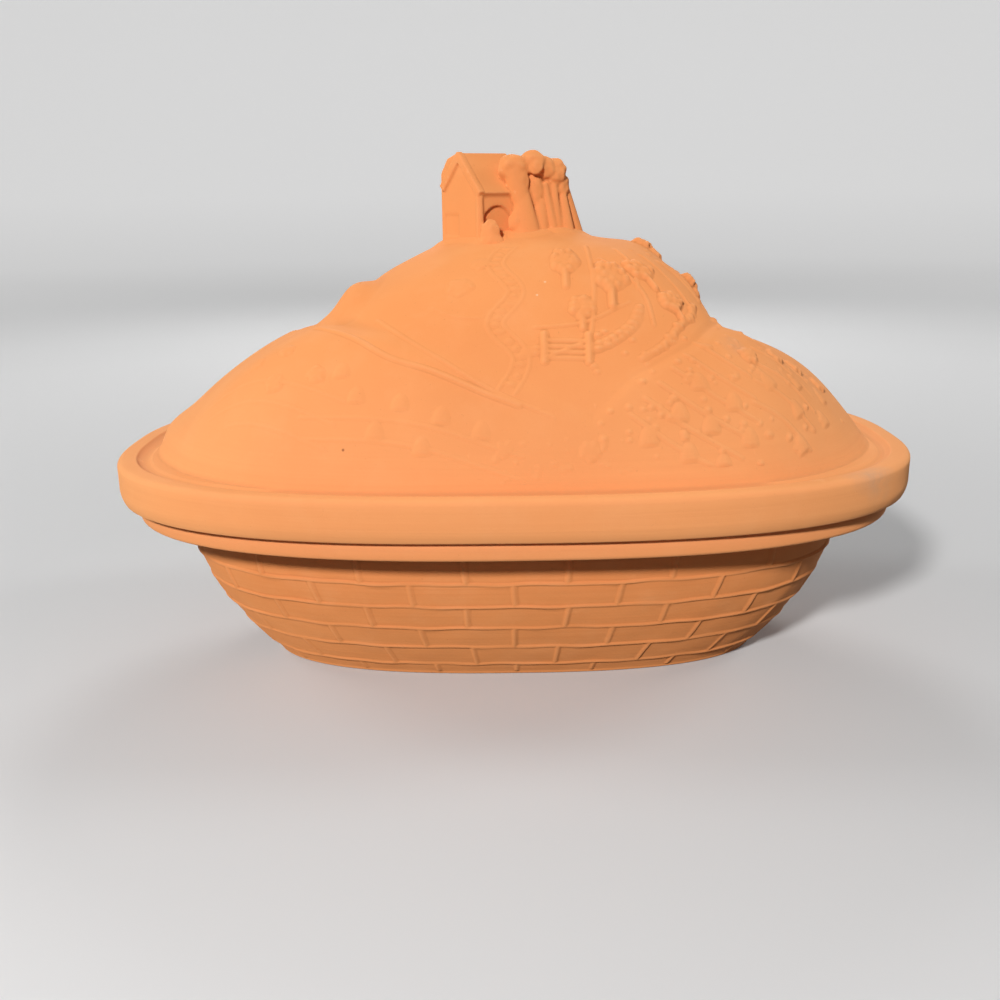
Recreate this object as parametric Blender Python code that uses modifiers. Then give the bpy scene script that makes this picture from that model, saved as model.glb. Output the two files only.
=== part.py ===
# Clay baker: an oval earthenware dish with brick courses round its wall, and a hollow lid
# shaped as a hillside, with a flat flange round its edge and a cottage and trees for a knob.
# Metres, +Z up. The origin is the middle of the foot, on the table. +X is the long way.

import math

import bmesh
import bpy
import numpy as np
from mathutils import Matrix, Vector

# Plan: every level is an oval, drawn in from the lid's outer edge by an inset
LENGTH = 0.344
WIDTH = 0.236
OVAL_POWER = 2.6

# Dish
DISH_HEIGHT = 0.0750
DISH_WALL = 0.008
DISH_FLOOR = 0.008
LID_OVERHANG = 0.0078
RIM_BAND = 0.0084
RIM_TOP_WIDTH = 0.0105
RIM_SHELF = 0.0205
SHELF_RISE = 0.0045
RIM_ROUNDING = 0.002
WALL_LEAN = 0.0350
WALL_CURVE = 1.65
MOUTH_BEND = 0.86
FOOT_ROUNDING = 0.0015
INNER_LEVELS = (0.6, 0.36, 0.16)

# Brick courses, counted down from under the rim; the joints between them stand proud
BRICKS_AROUND = 18
COURSE_HEIGHT = 0.0111
JOINT_WIDTH = 0.0024
JOINT_PROUD = 0.0008

# Lid flange, and the ring under it that drops inside the dish
SEAT_GAP = 0.0003
FLANGE_HEIGHT = 0.0178
FLANGE_SWELL = 0.013
FLANGE_TILT = 25
SEAT_ROUNDING = 0.0015
LIP_WIDTH = 0.008
LIP_ROUNDING = 0.0025
GUTTER_WIDTH = 0.004
GUTTER_DEPTH = 0.002
RING_DEPTH = 0.0045
RING_WIDTH = 0.006
RING_CLEARANCE = 0.002

# Lid hillside, measured up from the gutter
LID_WALL = 0.008
SHOULDER_HEIGHT = 0.062
SUMMIT_HEIGHT = 0.092
SUMMIT_LEFT_LENGTH = 0.0963
SUMMIT_RIGHT_LENGTH = 0.0935
SUMMIT_OFFSET = 0.004
SUMMIT_TILT = 0.055
SUMMIT_LEFT_BROW = (2.5, 0.475)
SUMMIT_RIGHT_BROW = (3.0, 0.45)
SUMMIT_FALL = (2.2, 0.8)
SHOULDER_BROW = (3.05, 0.91)
HILL_POWER = 2.15
VALLEY_BLEND = 0.004
# The front of the hill is fuller and squarer than its back
FORE_START, FORE_WIDTH = 0.015, 0.050
FORE_END, FORE_END_WIDTH = 0.084, 0.084
FORE_BROW = (4.7, 0.82)
KNOLL = Vector((-0.0700, -0.0220))
KNOLL_LENGTH = 0.0345
KNOLL_WIDTH = 0.0450
KNOLL_HEIGHT = 0.0093
BANK_HEIGHT = 0.0035
BANK_WIDTH = 0.005
BANK_REACH = 0.040
LEFT_BANK = (Vector((-0.075, -0.041)), Vector((0.031, -0.101)))
RIGHT_BANK = (Vector((0.032, -0.101)), Vector((0.085, -0.048)))

# Knob: a cottage and a clump of trees on the summit
KNOB_ROOT = 0.0055
COTTAGE_CORNER = Vector((-0.0130, -0.0185))
COTTAGE_TURN = math.radians(37)
COTTAGE_GABLE = 0.028
COTTAGE_DEPTH = 0.024
COTTAGE_EAVES = 0.019
COTTAGE_RIDGE = 0.0338
ROOF_OVERHANG = 0.0015
ROOF_THICKNESS = 0.002
CHIMNEY = 0.0075
CHIMNEY_HEIGHT = 0.031
CHIMNEY_SETBACK = 0.005
CHIMNEY_PROUD = 0.0008
WAIST_SHARE = 0.8
# Each tree: place on the plan, trunk radius, crown radius, crown half height, top above summit
TREES = (
    (Vector((0.0070, -0.0080)), 0.0070, 0.0085, 0.0100, 0.0350),
    (Vector((0.0185, -0.0010)), 0.0065, 0.0075, 0.0095, 0.0315),
    (Vector((0.0240, 0.0060)), 0.0070, 0.0070, 0.0085, 0.0170),
)

# Mesh detail
LID_COLUMNS = 96
HILL_RINGS = 19
INNER_RINGS = 8
ARC_STEPS = 3
TREE_SIDES = 16

# Sizes worked out from those above
HALF_LENGTH = LENGTH / 2
HALF_WIDTH = WIDTH / 2
WALL_TOP_INSET = LID_OVERHANG + RIM_SHELF
WALL_HEIGHT = DISH_HEIGHT - RIM_BAND - SHELF_RISE
MOUTH_INSET = LID_OVERHANG + RIM_TOP_WIDTH
LID_SEAT = DISH_HEIGHT + SEAT_GAP
LIP_TOP = LID_SEAT + FLANGE_HEIGHT
GUTTER_LEVEL = LIP_TOP - GUTTER_DEPTH
HILL_INSET = LIP_WIDTH + GUTTER_WIDTH + GUTTER_DEPTH
SUMMIT = GUTTER_LEVEL + SUMMIT_HEIGHT


def empty_scene():
    for thing in list(bpy.data.objects):
        bpy.data.objects.remove(thing, do_unlink=True)


def collection(name):
    made = bpy.data.collections.new(name)
    bpy.context.scene.collection.children.link(made)
    return made


def clay(name, colour, roughness):
    material = bpy.data.materials.new(name)
    material.use_nodes = True
    shader = material.node_tree.nodes["Principled BSDF"]
    shader.inputs["Base Color"].default_value = (*colour, 1.0)
    shader.inputs["Roughness"].default_value = roughness
    shader.inputs["Metallic"].default_value = 0.0
    return material


def smoothstep(value):
    value = min(max(value, 0.0), 1.0)
    return value * value * (3.0 - 2.0 * value)


def oval_point(angle, inset, height, share=1.0):
    """A point of the oval at this angle; share scales it towards the middle."""
    cosine, sine = math.cos(angle), math.sin(angle)
    reach = (abs(cosine) ** OVAL_POWER + abs(sine) ** OVAL_POWER) ** (-1.0 / OVAL_POWER)
    x = (HALF_LENGTH - inset) * cosine * reach * share
    y = (HALF_WIDTH - inset) * sine * reach * share
    return Vector((x, y, height))


def even_angles(places, inset):
    """Angles at these shares of the way round, counted from the front along the oval."""
    fine = np.linspace(-math.pi / 2, 1.5 * math.pi, 4001)
    points = np.array([oval_point(angle, inset, 0.0) for angle in fine])
    steps = np.linalg.norm(np.diff(points, axis=0), axis=1)
    travelled = np.concatenate([[0.0], np.cumsum(steps)])
    around = travelled[-1]
    wanted = np.mod(np.array(places), 1.0) * around
    return list(np.interp(wanted, travelled, fine)), around


def loft(name, rings, material, home, pointed=False):
    """One closed body through rings of equal count, closed at both ends."""
    mesh = bpy.data.meshes.new(name)
    build = bmesh.new()
    grid = [[build.verts.new(point) for point in ring] for ring in rings]
    count = len(rings[0])
    for low, high in zip(grid, grid[1:]):
        for i in range(count):
            j = (i + 1) % count
            build.faces.new((low[i], low[j], high[j], high[i]))
    if pointed:
        for ring, backwards in ((grid[0], True), (grid[-1], False)):
            middle = sum((vertex.co for vertex in ring), Vector()) / count
            tip = build.verts.new(middle)
            for i in range(count):
                pair = (ring[i], ring[(i + 1) % count])
                build.faces.new((*(reversed(pair) if backwards else pair), tip))
    else:
        build.faces.new(list(reversed(grid[0])))
        build.faces.new(grid[-1])
    build.normal_update()
    build.to_mesh(mesh)
    build.free()
    mesh.shade_smooth()
    mesh.set_sharp_from_angle(angle=math.radians(35))
    mesh.materials.append(material)
    made = bpy.data.objects.new(name, mesh)
    home.objects.link(made)
    return made


def rounded_corner(inset, height, radius, start, end):
    """Insets and heights round an arc; the angle is 0 outwards and 90 degrees upwards."""
    corner = []
    for i in range(ARC_STEPS + 1):
        angle = math.radians(start + (end - start) * i / ARC_STEPS)
        corner.append((inset - radius * math.cos(angle), height + radius * math.sin(angle)))
    return corner


def wall_inset(height):
    """Inset of the dish wall's face, which leans in ever faster towards the foot."""
    fall = 1.0 - min(max(height / WALL_HEIGHT, 0.0), 1.0)
    return WALL_TOP_INSET + WALL_LEAN * fall ** WALL_CURVE


def joint_heights():
    """Heights of the joints between courses, from the lowest up."""
    lowest = FOOT_ROUNDING + JOINT_WIDTH
    heights = []
    height = WALL_HEIGHT - COURSE_HEIGHT
    while height > lowest:
        heights.append(height)
        height -= COURSE_HEIGHT
    return list(reversed(heights))


def dish_rings():
    """Rings from the foot up the brick wall, over the rim and down inside to the floor."""
    half_joint = JOINT_WIDTH / 2
    halves = 2 * BRICKS_AROUND
    middle_inset = wall_inset(WALL_HEIGHT / 2)
    around = even_angles([0.0], middle_inset)[1]
    columns = [(half, side) for half in range(halves) for side in (-1, 0, 1)]
    places = [half / halves + side * half_joint / around for half, side in columns]
    angles = even_angles(places, middle_inset)[0]

    def ring(inset, height, course=None, bed=False):
        points = []
        for (half, side), angle in zip(columns, angles):
            upright = course is not None and side == 0 and (half + course) % 2 == 1
            proud = JOINT_PROUD if bed or upright else 0.0
            points.append(oval_point(angle, inset - proud, height))
        return points

    toe = wall_inset(FOOT_ROUNDING) + FOOT_ROUNDING
    rings = []
    for inset, height in rounded_corner(toe, FOOT_ROUNDING, FOOT_ROUNDING, -90, 0):
        rings.append(ring(inset, height))
    joints = joint_heights()
    for course, height in enumerate(joints):
        from_top = len(joints) - course
        rings.append(ring(wall_inset(height - half_joint), height - half_joint, from_top))
        rings.append(ring(wall_inset(height), height, bed=True))
        rings.append(ring(wall_inset(height + half_joint), height + half_joint, from_top - 1))
    rings.append(ring(WALL_TOP_INSET, WALL_HEIGHT, 0))
    edge = LID_OVERHANG + RIM_ROUNDING
    band_low = DISH_HEIGHT - RIM_BAND + RIM_ROUNDING
    for inset, height in rounded_corner(edge, band_low, RIM_ROUNDING, -75, 0):
        rings.append(ring(inset, height))
    for inset, height in rounded_corner(edge, DISH_HEIGHT - RIM_ROUNDING, RIM_ROUNDING, 0, 90):
        rings.append(ring(inset, height))
    rings.append(ring(MOUTH_INSET, DISH_HEIGHT))
    for share in (MOUTH_BEND, *INNER_LEVELS):
        height = WALL_HEIGHT * share
        rings.append(ring(wall_inset(height) + DISH_WALL, height))
    rings.append(ring(wall_inset(DISH_FLOOR) + DISH_WALL + FOOT_ROUNDING, DISH_FLOOR))
    return rings


def brow(share, shape):
    """A hill's profile: 1 in the middle and 0 at its edge; shape says how full and how steep."""
    full, steep = shape
    return (1.0 - min(share, 1.0) ** full) ** steep


def hillside(x, y):
    """Height of the plain hillside above the gutter: two shoulders and a steeper summit."""
    across = min(abs(x) / (HALF_LENGTH - HILL_INSET), 1.0)
    along = abs(y) / (HALF_WIDTH - HILL_INSET)
    front = smoothstep((-y - FORE_START) / FORE_WIDTH)
    front *= 1.0 - smoothstep((abs(x) - FORE_END) / FORE_END_WIDTH)
    power = HILL_POWER + (OVAL_POWER - HILL_POWER) * front
    reach = (across ** power + along ** power) ** (1.0 / power)
    full, steep = (back + (fore - back) * front for back, fore in zip(SHOULDER_BROW, FORE_BROW))
    edge = max(1.0 - across ** OVAL_POWER, 1e-6) ** (1.0 / OVAL_POWER)
    aside = x - SUMMIT_OFFSET
    if aside < 0.0:
        profile = brow(-aside / SUMMIT_LEFT_LENGTH, SUMMIT_LEFT_BROW)
    else:
        profile = brow(aside / SUMMIT_RIGHT_LENGTH, SUMMIT_RIGHT_BROW)
    shoulder = SHOULDER_HEIGHT * brow(reach, (full, steep))
    summit = (SUMMIT_HEIGHT + SUMMIT_TILT * x) * profile * brow(along / edge, SUMMIT_FALL)
    mix = min(max(0.5 + 0.5 * (summit - shoulder) / VALLEY_BLEND, 0.0), 1.0)
    return shoulder * (1.0 - mix) + summit * mix + VALLEY_BLEND * mix * (1.0 - mix)


def bank(x, y, line):
    """Rise of a fore hill that starts at a line on the plan and dies away in front of it."""
    start, end = line
    run = (end - start).normalized()
    forward = Vector((run.y, -run.x))
    if forward.y > 0.0:
        forward.negate()
    beyond = (Vector((x, y)) - start).dot(forward)
    return smoothstep(beyond / BANK_WIDTH) * (1.0 - smoothstep(beyond / BANK_REACH))


def knoll(x, y):
    """Share of the round knoll's height at this place; it stands on the left shoulder."""
    away = math.hypot((x - KNOLL.x) / (KNOLL_LENGTH / 2), (y - KNOLL.y) / (KNOLL_WIDTH / 2))
    return smoothstep(1.0 - away)


def hill_top(x, y):
    """The hillside with its two fore hills and the knoll."""
    rise = max(bank(x, y, LEFT_BANK), bank(x, y, RIGHT_BANK))
    fade = smoothstep(hillside(x, y) / SHOULDER_HEIGHT * 2.0)
    return hillside(x, y) + BANK_HEIGHT * rise * fade + KNOLL_HEIGHT * knoll(x, y)


def flange_edge():
    """Insets and heights of the flange's face: a tight edge over the seat, then a broad swell."""
    tilt = math.radians(FLANGE_TILT)
    reach = FLANGE_SWELL - SEAT_ROUNDING
    edge_inset = FLANGE_SWELL - reach * math.cos(tilt)
    edge_height = LID_SEAT + SEAT_ROUNDING
    swell_height = edge_height + reach * math.sin(tilt)
    edge = rounded_corner(edge_inset, edge_height, SEAT_ROUNDING, -90, -FLANGE_TILT)
    swell = rounded_corner(FLANGE_SWELL, swell_height, FLANGE_SWELL, -FLANGE_TILT, 0)
    return edge + swell[1:]


def lid_rings():
    """Rings from the middle of the underside out, round the flange and up to the summit."""
    angles = even_angles([i / LID_COLUMNS for i in range(LID_COLUMNS)], HILL_INSET)[0]
    bend = MOUTH_BEND * WALL_HEIGHT
    slope = (wall_inset(bend) + DISH_WALL - MOUTH_INSET) / (DISH_HEIGHT - bend)
    ring_outer = MOUTH_INSET + slope * (RING_DEPTH - SEAT_GAP) + RING_CLEARANCE
    ring_inner = ring_outer + RING_WIDTH
    ring_bottom = LID_SEAT - RING_DEPTH
    outward = 1.0 + LID_WALL / HALF_LENGTH

    def level(inset, height):
        return [oval_point(angle, inset, height) for angle in angles]

    rings = []
    for i in range(1, INNER_RINGS + 1):
        share = math.sin(0.5 * math.pi * i / INNER_RINGS)
        points = [oval_point(angle, ring_inner, 0.0, share) for angle in angles]
        for point in points:
            point.z = GUTTER_LEVEL - LID_WALL + hillside(point.x * outward, point.y * outward)
        rings.append(points)
    rings.append(level(ring_inner, ring_bottom))
    rings.append(level(ring_outer, ring_bottom))
    rings.append(level(ring_outer, LID_SEAT))
    for inset, height in flange_edge():
        rings.append(level(inset, height))
    for inset, height in rounded_corner(LIP_ROUNDING, LIP_TOP - LIP_ROUNDING, LIP_ROUNDING, 0, 90):
        rings.append(level(inset, height))
    rings.append(level(LIP_WIDTH, LIP_TOP))
    rings.append(level(LIP_WIDTH + GUTTER_DEPTH, GUTTER_LEVEL))
    for i in range(HILL_RINGS):
        share = math.cos(0.5 * math.pi * i / HILL_RINGS)
        points = [oval_point(angle, HILL_INSET, 0.0, share) for angle in angles]
        for point in points:
            point.z = GUTTER_LEVEL + hill_top(point.x, point.y)
        rings.append(points)
    return rings


def hide_as_cutter(thing):
    thing.hide_render = True
    thing.display_type = "WIRE"


def add_to(body, pieces):
    """Join pieces to a body as one clay."""
    for piece in pieces:
        join = body.modifiers.new(piece.name, "BOOLEAN")
        join.operation = "UNION"
        join.solver = "EXACT"
        join.object = piece


def prism(name, outline, thickness, matrix, home):
    """A flat outline, extruded both ways along its own normal, as a mesh."""
    curve = bpy.data.curves.new(name, "CURVE")
    curve.dimensions = "2D"
    curve.fill_mode = "BOTH"
    curve.extrude = thickness / 2
    spline = curve.splines.new("POLY")
    spline.points.add(len(outline) - 1)
    for point, (x, y) in zip(spline.points, outline):
        point.co = (x, y, 0.0, 1.0)
    spline.use_cyclic_u = True
    drawn = bpy.data.objects.new(name + "_outline", curve)
    bpy.context.scene.collection.objects.link(drawn)
    bpy.context.view_layer.update()
    mesh = bpy.data.meshes.new_from_object(drawn.evaluated_get(bpy.context.evaluated_depsgraph_get()))
    bpy.data.objects.remove(drawn, do_unlink=True)
    build = bmesh.new()
    build.from_mesh(mesh)
    bmesh.ops.remove_doubles(build, verts=build.verts, dist=1e-6)
    bmesh.ops.recalc_face_normals(build, faces=build.faces)
    build.to_mesh(mesh)
    build.free()
    made = bpy.data.objects.new(name, mesh)
    made.matrix_world = matrix
    home.objects.link(made)
    hide_as_cutter(made)
    return made


def cottage(home):
    """Walls and a steep roof; the gable faces front left, and the ridge runs away from it."""
    base = SUMMIT - KNOB_ROOT
    gable_way = Vector((-math.sin(COTTAGE_TURN), math.cos(COTTAGE_TURN), 0.0))
    depth_way = Vector((math.cos(COTTAGE_TURN), math.sin(COTTAGE_TURN), 0.0))
    corner = Vector((*COTTAGE_CORNER, base))
    middle = corner + gable_way * COTTAGE_GABLE / 2 + depth_way * COTTAGE_DEPTH / 2
    turn = Matrix((gable_way, (0.0, 0.0, 1.0), depth_way)).transposed().to_4x4()
    placed = Matrix.Translation(middle) @ turn
    half = COTTAGE_GABLE / 2
    eaves = COTTAGE_EAVES + KNOB_ROOT
    ridge = COTTAGE_RIDGE + KNOB_ROOT
    pitch = (ridge - eaves) / half
    peak = ridge - ROOF_THICKNESS / 2
    walls = [(-half, 0.0), (half, 0.0), (half, eaves), (0.0, peak), (-half, eaves)]
    out = half + ROOF_OVERHANG
    drop = eaves - ROOF_OVERHANG * pitch
    roof = [
        (out, drop),
        (0.0, ridge),
        (-out, drop),
        (-out, drop - ROOF_THICKNESS),
        (0.0, ridge - 2 * ROOF_THICKNESS),
        (out, drop - ROOF_THICKNESS),
    ]
    stack_side = half + CHIMNEY_PROUD
    stack_top = CHIMNEY_HEIGHT + KNOB_ROOT
    stack = [
        (stack_side - CHIMNEY, CHIMNEY_PROUD),
        (stack_side, CHIMNEY_PROUD),
        (stack_side, stack_top),
        (stack_side - CHIMNEY, stack_top),
    ]
    stack_back = (CHIMNEY - COTTAGE_DEPTH) / 2 + CHIMNEY_SETBACK
    stack_placed = placed @ Matrix.Translation((0.0, 0.0, stack_back))
    return [
        prism("cottage_walls", walls, COTTAGE_DEPTH, placed, home),
        prism("cottage_roof", roof, COTTAGE_DEPTH + 2 * ROOF_OVERHANG, placed, home),
        prism("cottage_chimney", stack, CHIMNEY, stack_placed, home),
    ]


def tree(number, place, trunk_radius, crown_radius, crown_half, top, home):
    """A turned tree: an egg-shaped crown on a waisted trunk that spreads at its root."""
    base = -KNOB_ROOT
    crown_middle = top - crown_half
    profile = [(0.0, top)]
    for degrees in (25, 50, 75, 100, 125):
        angle = math.radians(degrees)
        profile.append((crown_radius * math.sin(angle), crown_middle + crown_half * math.cos(angle)))
    waist = 0.5 * (profile[-1][1] + base)
    profile.append((trunk_radius * WAIST_SHARE, waist))
    profile.append((trunk_radius, 0.0))
    profile.append((trunk_radius, base))
    profile.append((0.0, base))
    mesh = bpy.data.meshes.new(f"tree_{number}")
    edges = [(i, i + 1) for i in range(len(profile) - 1)]
    mesh.from_pydata([(radius, 0.0, height) for radius, height in profile], edges, [])
    made = bpy.data.objects.new(mesh.name, mesh)
    made.location = (place.x, place.y, SUMMIT)
    home.objects.link(made)
    turned = made.modifiers.new("turned", "SCREW")
    turned.steps = TREE_SIDES
    turned.render_steps = TREE_SIDES
    turned.use_merge_vertices = True
    turned.merge_threshold = 0.0001
    hide_as_cutter(made)
    return made


def main():
    empty_scene()
    parts = collection("clay_baker")
    cutters = collection("cutters")
    dish_clay = clay("dish_clay", (0.66, 0.22, 0.075), 0.85)
    lid_clay = clay("lid_clay", (0.84, 0.33, 0.105), 0.85)
    loft("dish", dish_rings(), dish_clay, parts)
    lid = loft("lid", lid_rings(), lid_clay, parts, pointed=True)
    add_to(lid, cottage(cutters))
    for number, (place, trunk, crown, crown_half, top) in enumerate(TREES, 1):
        add_to(lid, [tree(number, place, trunk, crown, crown_half, top, cutters)])


main()
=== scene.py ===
# Clay baker: the looks of an unglazed terracotta dish with brick courses and of its hollow lid,
# a hillside with low moulded relief and a cottage among trees for a knob.
# Metres, +Z up, in the frame of the CAD part. From the front, +X is right and +Y is away.
import math

import bpy
import numpy as np
from mathutils import Matrix, Vector


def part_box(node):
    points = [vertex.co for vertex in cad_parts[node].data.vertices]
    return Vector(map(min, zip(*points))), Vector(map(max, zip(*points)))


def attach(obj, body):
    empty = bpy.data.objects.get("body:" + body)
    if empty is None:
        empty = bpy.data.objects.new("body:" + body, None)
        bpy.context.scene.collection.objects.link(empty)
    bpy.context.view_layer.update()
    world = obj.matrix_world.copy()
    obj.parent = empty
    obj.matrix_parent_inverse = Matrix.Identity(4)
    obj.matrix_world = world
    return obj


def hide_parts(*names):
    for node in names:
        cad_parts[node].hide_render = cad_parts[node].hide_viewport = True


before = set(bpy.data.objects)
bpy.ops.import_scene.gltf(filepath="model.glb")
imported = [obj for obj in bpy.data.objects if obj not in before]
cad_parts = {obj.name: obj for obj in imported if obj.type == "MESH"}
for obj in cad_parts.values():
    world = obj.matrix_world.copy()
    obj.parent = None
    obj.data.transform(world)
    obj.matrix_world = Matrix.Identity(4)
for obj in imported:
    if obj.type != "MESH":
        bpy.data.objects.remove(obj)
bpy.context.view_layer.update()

MM = 0.001

# Plan: each level is an oval, drawn in from the lid's outer edge
_, LID_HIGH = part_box("lid")
_, DISH_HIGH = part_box("dish")
HALF_LENGTH = LID_HIGH.x
HALF_WIDTH = LID_HIGH.y
OVAL_POWER = 2.6

# Dish
DISH_HEIGHT = DISH_HIGH.z
LID_OVERHANG = HALF_LENGTH - DISH_HIGH.x
DISH_WALL = 8 * MM
RIM_BAND = 7.6 * MM
RIM_TOP_WIDTH = 10.5 * MM
RIM_SHELF = 20.5 * MM
SHELF_RISE = 5.3 * MM
SHELF_BEND = 1.15
RIM_ROUNDING = 2 * MM
# The angle in degrees at which the rim's lower rounding meets the shelf
RIM_UNDERCUT = -75
# The rim drops a little towards the two ends, from half of the way out
RIM_DROP_AT_ENDS = 0.9 * MM
RIM_DROP_START, RIM_DROP_RUN = 0.5, 0.45
MOUTH_ROUNDING = 1 * MM
WALL_LEAN = 35 * MM
WALL_CURVE = 1.65
MOUTH_BEND = 0.86
FOOT_ROUNDING = 1.5 * MM
FLOOR_FILLET = 2.2 * MM
WALL_TOP_INSET = LID_OVERHANG + RIM_SHELF
WALL_HEIGHT = DISH_HEIGHT - RIM_BAND - SHELF_RISE
MOUTH_INSET = LID_OVERHANG + RIM_TOP_WIDTH

# Brick courses, counted down from under the rim, with raised joints
BRICKS_AROUND = 18
COURSE_HEIGHT = 11.1 * MM
JOINT_PROUD = 0.85 * MM
BED_ABOVE, BED_BELOW = 1.5 * MM, 0.75 * MM
UPRIGHT_HALF_WIDTH = 1.5 * MM
# How far an upright joint may stray from its even place, and its lean
UPRIGHT_SHIFT, UPRIGHT_LEAN = 0.9 * MM, 0.07
# Waves of a bed joint: height in millimetres, waves around the dish, and shift from bed to bed
BED_WAVES = ((0.22, 17, 2.1), (0.16, 31, 1))

# Lid flange, gutter and the ring that drops inside the dish
LID_SEAT = DISH_HEIGHT + 0.3 * MM
FLANGE_HEIGHT = 17.8 * MM
FLANGE_SWELL = 13 * MM
# The flange leans in by this many degrees under its swell
FLANGE_TILT = 25
SEAT_ROUNDING = 1.5 * MM
# Along the sides the flange's face draws in by this much towards its seat
FLANGE_DRAW_IN = 3.1 * MM
LIP_WIDTH = 8 * MM
LIP_ROUNDING = 2.5 * MM
LIP_INNER_ROUNDING = 1.2 * MM
GUTTER_WIDTH = 4 * MM
GUTTER_DEPTH = 2 * MM
RING_DEPTH = 4.5 * MM
RING_WIDTH = 6 * MM
RING_CLEARANCE = 2 * MM
RING_ROUNDING = 1 * MM
LID_WALL = 8 * MM
LIP_TOP = LID_SEAT + FLANGE_HEIGHT
GUTTER_LEVEL = LIP_TOP - GUTTER_DEPTH
HILL_INSET = LIP_WIDTH + GUTTER_WIDTH + GUTTER_DEPTH

# Hillside, measured up from the gutter
SHOULDER_HEIGHT = 62 * MM
SUMMIT_HEIGHT = 92 * MM
SUMMIT_LEFT_LENGTH = 96.3 * MM
SUMMIT_RIGHT_LENGTH = 93.5 * MM
SUMMIT_OFFSET = 4 * MM
SUMMIT_TILT = 0.055
SUMMIT_LEFT_BROW = (2.5, 0.475)
SUMMIT_RIGHT_BROW = (3.0, 0.45)
SUMMIT_FALL = (2.2, 0.8)
SHOULDER_BROW = (3.05, 0.91)
HILL_POWER = 2.15
VALLEY_BLEND = 4 * MM
# The front of the hill is fuller and squarer than its back
FORE_START, FORE_WIDTH = 15 * MM, 50 * MM
FORE_END, FORE_END_WIDTH = 84 * MM, 84 * MM
FORE_BROW = (4.7, 0.82)
KNOLL = (-70 * MM, -22 * MM)
KNOLL_LENGTH = 34.5 * MM
KNOLL_WIDTH = 45 * MM
KNOLL_HEIGHT = 9.3 * MM
# Swells and hollows of the hand-modelled hill: place, height and reach, in millimetres
SWELLS = (
    (-154, -10, 4.0, 9, 30),
    (41, 0, -2.3, 14, 32),
    (68, -7, -2.2, 8, 30),
    (83, -18, -3.4, 6, 14),
    (98, 2, -2.8, 10, 26),
    (131, -7, 3.0, 15, 26),
)
# Crests of the two fore hills, as places on the plan in millimetres, from the left
LEFT_CREST = (
    (-92, -12), (-80, -38), (-66, -60), (-48, -74.5), (-30, -82), (-8, -88.5), (16, -94), (36, -99),
)
RIGHT_CREST = (
    (26, -99), (35, -94.5), (45, -88.5), (58, -81.5), (73, -70), (84, -50), (90, -26), (92, -8),
)
CREST_HEIGHT = 2.0 * MM
CREST_BACK = 9 * MM
CREST_REACH = 42 * MM
SUMMIT = GUTTER_LEVEL + SUMMIT_HEIGHT

# Unevenness of hand-finished clay on the hillside, the brick wall, and the rim and the flange
HILL_UNEVENNESS = 0.25 * MM
WALL_UNEVENNESS = 0.1 * MM
EDGE_UNEVENNESS = 0.12 * MM

# Cottage and trees
COTTAGE_CORNER = Vector((-13 * MM, -18.5 * MM, 0))
COTTAGE_TURN = math.radians(37)
COTTAGE_GABLE = 28 * MM
COTTAGE_DEPTH = 24 * MM
COTTAGE_EAVES = 19 * MM
COTTAGE_RIDGE = 33.8 * MM
# How far each slope of the roof goes past its wall, and the roof past the two gables
EAVES_OVERHANGS = ((-1, -0.6 * MM), (1, 1.7 * MM))
GABLE_OVERHANG = 1.3 * MM
ROOF_THICKNESS = 2 * MM
VERGE_WIDTH, VERGE_PROUD, VERGE_DEPTH = 2.6 * MM, 0.7 * MM, 2.8 * MM
KNOB_ROOT = 5.5 * MM
KNOB_SWELL, KNOB_SWELL_REACH = 1.6 * MM, 6 * MM
CHIMNEY = 7.5 * MM
CHIMNEY_HEIGHT = 31 * MM
CHIMNEY_SETBACK = 5 * MM
CHIMNEY_PROUD = 0.8 * MM
# The clump of trees stands on three rounds of the plan: place and radius
TREE_FEET = (
    (7.0 * MM, -8.0 * MM, 7.0 * MM),
    (18.5 * MM, -1.0 * MM, 6.5 * MM),
    (24.0 * MM, 6.0 * MM, 7.0 * MM),
)

# Fineness of the meshes. Columns crowd near the upright joints, at this share of half a brick on
# either side, and rows crowd over each bed joint
BRICK_COLUMNS_NEAR, BRICK_COLUMNS_BETWEEN = 12, 9
NEAR_UPRIGHT = 0.14
BED_ROWS = np.linspace(-1.25 * MM, 1.95 * MM, 10)
LID_COLUMNS = 496
HILL_RINGS = 116
KNOB_STEP = 0.42 * MM
RELIEF_STEP = 0.5 * MM

# Wear of the knob and of the relief, and the clay skins that carry the relief
KNOB_WEAR = 14
RELIEF_SOFTNESS = 2
RELIEF_STRENGTH = 1.5
RELIEF_THICKNESS = 2.5 * MM
RELIEF_SINK = 0.05 * MM
# Millimetres over which a relief fades and its skin sinks in at the edge of a field
RELIEF_FADE, SKIN_TUCK = 3, 1.5
# Clumps on a bush, and millimetres from stone to stone of the path
CLUMPS_OF_LEAVES = 16
PATH_STONE_SPACING = 4.4


def smoothstep(value):
    """Ease a value from 0 to 1, level at both ends."""
    value = np.clip(value, 0.0, 1.0)
    return value * value * (3.0 - 2.0 * value)


def lumps(places, size, seed, waves=9):
    """Smooth unevenness, mostly between -1 and 1, with swells of about this size."""
    draw = np.random.default_rng(seed)
    total = np.zeros(places.shape[:-1])
    for _ in range(waves):
        way = draw.normal(size=places.shape[-1])
        way *= 2 * math.pi * draw.uniform(0.6, 1.5) / (size * np.linalg.norm(way))
        total += np.sin(places @ way + draw.uniform(0, 2 * math.pi))
    return total / math.sqrt(waves)


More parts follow.
